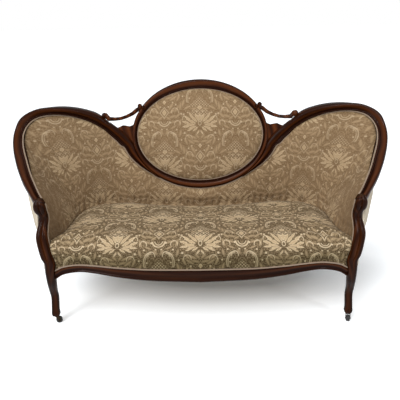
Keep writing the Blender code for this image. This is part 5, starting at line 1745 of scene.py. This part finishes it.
def make_floor(lift):
    """A pale floor that looks white away from the settee's shadow."""
    bm = bmesh.new()
    bmesh.ops.create_grid(bm, x_segments=1, y_segments=1, size=FLOOR_HALF_SIZE)
    floor = add_mesh("studio_floor", bm, smooth=False)
    made, tree, shader = new_material(
        "pale_floor", Base_Color=FLOOR_COLOUR, Roughness=0.9, Specular_IOR_Level=0.0
    )
    away = reach(tree, shifted(tree, object_place(tree), SHADOW_MIDDLE, 0, SHADOW_HALF_SIZE))
    glow = add_node(tree, "ShaderNodeEmission")
    slope, start = FLOOR_FADE
    strength = (away * slope - start).clamped() * seen_rays(tree) * lift
    link(tree, strength, glow.inputs["Strength"])
    total = add_node(tree, "ShaderNodeAddShader")
    link(tree, shader.outputs[0], total.inputs[0])
    link(tree, glow.outputs[0], total.inputs[1])
    link(tree, total.outputs[0], tree.nodes["Material Output"].inputs["Surface"])
    floor.data.materials.append(made)


def make_sky(level):
    """Even light of a given level that looks white."""
    world = bpy.data.worlds.new("studio")
    bpy.context.scene.world = world
    world.use_nodes = True
    tree = world.node_tree
    back = tree.nodes["Background"]
    back.inputs["Color"].default_value = (1, 1, 1, 1)
    link(tree, seen_rays(tree) * (1 - level) + level, back.inputs["Strength"])


def aimed(obj, way):
    obj.rotation_euler = way.to_track_quat("-Z", "Y").to_euler()


def make_camera(lens):
    camera = bpy.data.cameras.new("camera")
    camera.lens = lens
    camera.sensor_width = SENSOR_WIDTH
    obj = add_object("camera", camera)
    right = Vector((math.cos(CAMERA_YAW), -math.sin(CAMERA_YAW), 0))
    ahead = Vector((math.sin(CAMERA_YAW), math.cos(CAMERA_YAW), 0)) * math.cos(CAMERA_PITCH)
    ahead.z = -math.sin(CAMERA_PITCH)
    down = ahead.cross(right)
    side = right * math.cos(CAMERA_ROLL) + down * math.sin(CAMERA_ROLL)
    down = down * math.cos(CAMERA_ROLL) - right * math.sin(CAMERA_ROLL)
    turn = Matrix((side, -down, -ahead)).transposed().to_4x4()
    obj.matrix_world = Matrix.Translation(CAMERA_PLACE) @ turn
    bpy.context.scene.camera = obj


def make_stage():
    looks = bpy.context.scene.settee_stage
    make_floor(looks.floor_lift)
    make_sky(looks.sky)
    for name, place, size in LAMPS:
        lamp = bpy.data.lights.new(name, "AREA")
        lamp.shape = "RECTANGLE"
        lamp.size, lamp.size_y = size
        lamp.energy = looks.side_lamps
        obj = add_object(name, lamp)
        obj.location = place
        aimed(obj, LAMPS_AIM - Vector(place))
    key = bpy.data.lights.new("key_light", "SUN")
    key.energy = looks.key
    key.angle = KEY_ANGLE
    aimed(add_object("key_light", key), KEY_WAY)
    make_camera(looks.lens)
    bpy.context.scene.view_settings.view_transform = "Standard"


def colour_prop(name, description, default):
    return bpy.props.FloatVectorProperty(
        name=name, description=description, default=default, subtype="COLOR", size=3, min=0, max=1
    )


def number_prop(name, description, default, unit="NONE", least=0):
    return bpy.props.FloatProperty(
        name=name, description=description, default=default, unit=unit, min=least
    )


class SETTEE_PG_wood(bpy.types.PropertyGroup):
    shadow: colour_prop("Shadow", "Darkest tone of the polished walnut", (0.009, 0.0024, 0.0010))
    body: colour_prop("Body", "Main tone of the polished walnut", (0.040, 0.0098, 0.0024))
    warm: colour_prop("Warm", "Reddish tone where the polish glows", (0.095, 0.027, 0.0068))


class SETTEE_PG_cloth(bpy.types.PropertyGroup):
    ground: colour_prop("Ground", "Damask ground of the back", (0.222, 0.142, 0.076))
    shade: colour_prop("Shade", "Darker threads of the ground", (0.136, 0.082, 0.039))
    satin: colour_prop("Satin", "Satin of the back's figure", (0.42, 0.302, 0.174))
    seat_ground: colour_prop("Seat ground", "Damask ground of the seat", (0.122, 0.079, 0.039))
    seat_shade: colour_prop("Seat shade", "Darker threads of the seat", (0.058, 0.038, 0.018))
    seat_satin: colour_prop("Seat satin", "Satin of the seat's figure", (0.475, 0.350, 0.204))
    cream: colour_prop("Cream", "Fine lines and beads of the figure", (0.68, 0.545, 0.36))
    outside: colour_prop("Outside", "Paler cloth of the outside covers", (0.66, 0.58, 0.46))
    outside_shade: colour_prop("Outside shade", "Shaded threads of them", (0.50, 0.42, 0.31))
    pressure: number_prop("Stuffing pressure", "How hard the stuffing pushes the cloth out", 4.0)
    slack: number_prop("Slack", "How much smaller each cushion starts", 0.0025, "LENGTH")


class SETTEE_PG_gimp(bpy.types.PropertyGroup):
    cord_radius: number_prop("Cord radius", "Radius of each of the gimp's cords", 0.0016, "LENGTH")
    light: colour_prop("Light strand", "Paler strands of the gimp", (0.36, 0.26, 0.175))
    dark: colour_prop("Dark strand", "Darker strands of the gimp", (0.19, 0.13, 0.085))


class SETTEE_PG_stage(bpy.types.PropertyGroup):
    lens: number_prop("Lens", "Focal length in millimetres", 54.56, least=1)
    floor_lift: number_prop("Floor lift", "How far the floor is lifted towards white", 0.42)
    sky: number_prop("Sky", "Strength of the even light", 0.40)
    key: number_prop("Key", "Strength of the wide key light", 2.15)
    side_lamps: number_prop("Side lamps", "Power of each lamp that draws the gloss", 15, "POWER")


class SETTEE_OT_wing_rails(bpy.types.Operator):
    """Moulded crest and arm rails of both wings"""

    bl_idname = "settee.wing_rails"
    bl_label = "Wing rails"

    def execute(self, context):
        make_wing_rails()
        return {"FINISHED"}


class SETTEE_OT_medallion_ring(bpy.types.Operator):
    """Moulded oval frame of the medallion"""

    bl_idname = "settee.medallion_ring"
    bl_label = "Medallion ring"

    def execute(self, context):
        make_medallion_ring()
        return {"FINISHED"}


class SETTEE_OT_front_posts(bpy.types.Operator):
    """Arm posts with their cabriole legs"""

    bl_idname = "settee.front_posts"
    bl_label = "Front posts"

    def execute(self, context):
        make_front_posts()
        return {"FINISHED"}


class SETTEE_OT_front_rail(bpy.types.Operator):
    """Serpentine rail under the seat's front"""

    bl_idname = "settee.front_rail"
    bl_label = "Front rail"

    def execute(self, context):
        make_front_rail()
        return {"FINISHED"}


class SETTEE_OT_carving(bpy.types.Operator):
    """Turned beads and reeds at the medallion's shoulders"""

    bl_idname = "settee.carving"
    bl_label = "Carving"

    def execute(self, context):
        make_carving()
        return {"FINISHED"}


class SETTEE_OT_other_wood(bpy.types.Operator):
    """Finishes of the spandrels, bridges, rear posts and hidden rails"""

    bl_idname = "settee.other_wood"
    bl_label = "Other wood"

    def execute(self, context):
        make_other_wood()
        return {"FINISHED"}


class SETTEE_OT_cushions(bpy.types.Operator):
    """Stuffed seat, inside back, inside arms and medallion pad"""

    bl_idname = "settee.cushions"
    bl_label = "Cushions"

    def execute(self, context):
        make_cushions()
        return {"FINISHED"}


class SETTEE_OT_outside_covers(bpy.types.Operator):
    """Outside arms, outside back, the medallion's back and the seat's corner facings"""

    bl_idname = "settee.outside_covers"
    bl_label = "Outside covers"

    def execute(self, context):
        make_outside_covers()
        make_corner_facings()
        return {"FINISHED"}


class SETTEE_OT_gimp(bpy.types.Operator):
    """Double cord along the edges of the cloth"""

    bl_idname = "settee.gimp"
    bl_label = "Gimp"

    def execute(self, context):
        make_gimp()
        return {"FINISHED"}


class SETTEE_OT_springing(bpy.types.Operator):
    """Finishes of the webbing, springs, deck and dust cover"""

    bl_idname = "settee.springing"
    bl_label = "Springing"

    def execute(self, context):
        make_springing()
        return {"FINISHED"}


class SETTEE_OT_casters(bpy.types.Operator):
    """Finishes of the four casters"""

    bl_idname = "settee.casters"
    bl_label = "Casters"

    def execute(self, context):
        make_casters()
        return {"FINISHED"}


class SETTEE_OT_stage(bpy.types.Operator):
    """Pale floor, studio light and camera"""

    bl_idname = "settee.stage"
    bl_label = "Stage"

    def execute(self, context):
        make_stage()
        return {"FINISHED"}


class SETTEE_PT_panel(bpy.types.Panel):
    """Settee pieces"""

    bl_label = "Settee"
    bl_idname = "SETTEE_PT_panel"
    bl_space_type = "VIEW_3D"
    bl_region_type = "UI"
    bl_category = "Settee"

    def draw(self, context):
        layout = self.layout
        for operator in OPERATORS:
            layout.operator(operator.bl_idname)
        for label in SETTINGS:
            settings = getattr(context.scene, label)
            box = layout.box()
            for name in settings.bl_rna.properties.keys():
                if name not in ("rna_type", "name"):
                    box.prop(settings, name)


OPERATORS = (
    SETTEE_OT_wing_rails,
    SETTEE_OT_medallion_ring,
    SETTEE_OT_front_posts,
    SETTEE_OT_front_rail,
    SETTEE_OT_carving,
    SETTEE_OT_other_wood,
    SETTEE_OT_cushions,
    SETTEE_OT_outside_covers,
    SETTEE_OT_gimp,
    SETTEE_OT_springing,
    SETTEE_OT_casters,
    SETTEE_OT_stage,
)
SETTINGS = {
    "settee_wood": SETTEE_PG_wood,
    "settee_cloth": SETTEE_PG_cloth,
    "settee_gimp": SETTEE_PG_gimp,
    "settee_stage": SETTEE_PG_stage,
}


def register():
    for cls in (*SETTINGS.values(), *OPERATORS, SETTEE_PT_panel):
        bpy.utils.register_class(cls)
    for label, cls in SETTINGS.items():
        setattr(bpy.types.Scene, label, bpy.props.PointerProperty(type=cls))


def unregister():
    for label in SETTINGS:
        delattr(bpy.types.Scene, label)
    for cls in (SETTEE_PT_panel, *reversed(OPERATORS), *reversed(SETTINGS.values())):
        bpy.utils.unregister_class(cls)


def main():
    register()
    bpy.ops.settee.wing_rails()
    bpy.ops.settee.medallion_ring()
    bpy.ops.settee.front_posts()
    bpy.ops.settee.front_rail()
    bpy.ops.settee.carving()
    bpy.ops.settee.other_wood()
    bpy.ops.settee.cushions()
    bpy.ops.settee.outside_covers()
    bpy.ops.settee.gimp()
    bpy.ops.settee.springing()
    bpy.ops.settee.casters()
    bpy.ops.settee.stage()


if __name__ == "__main__":
    main()
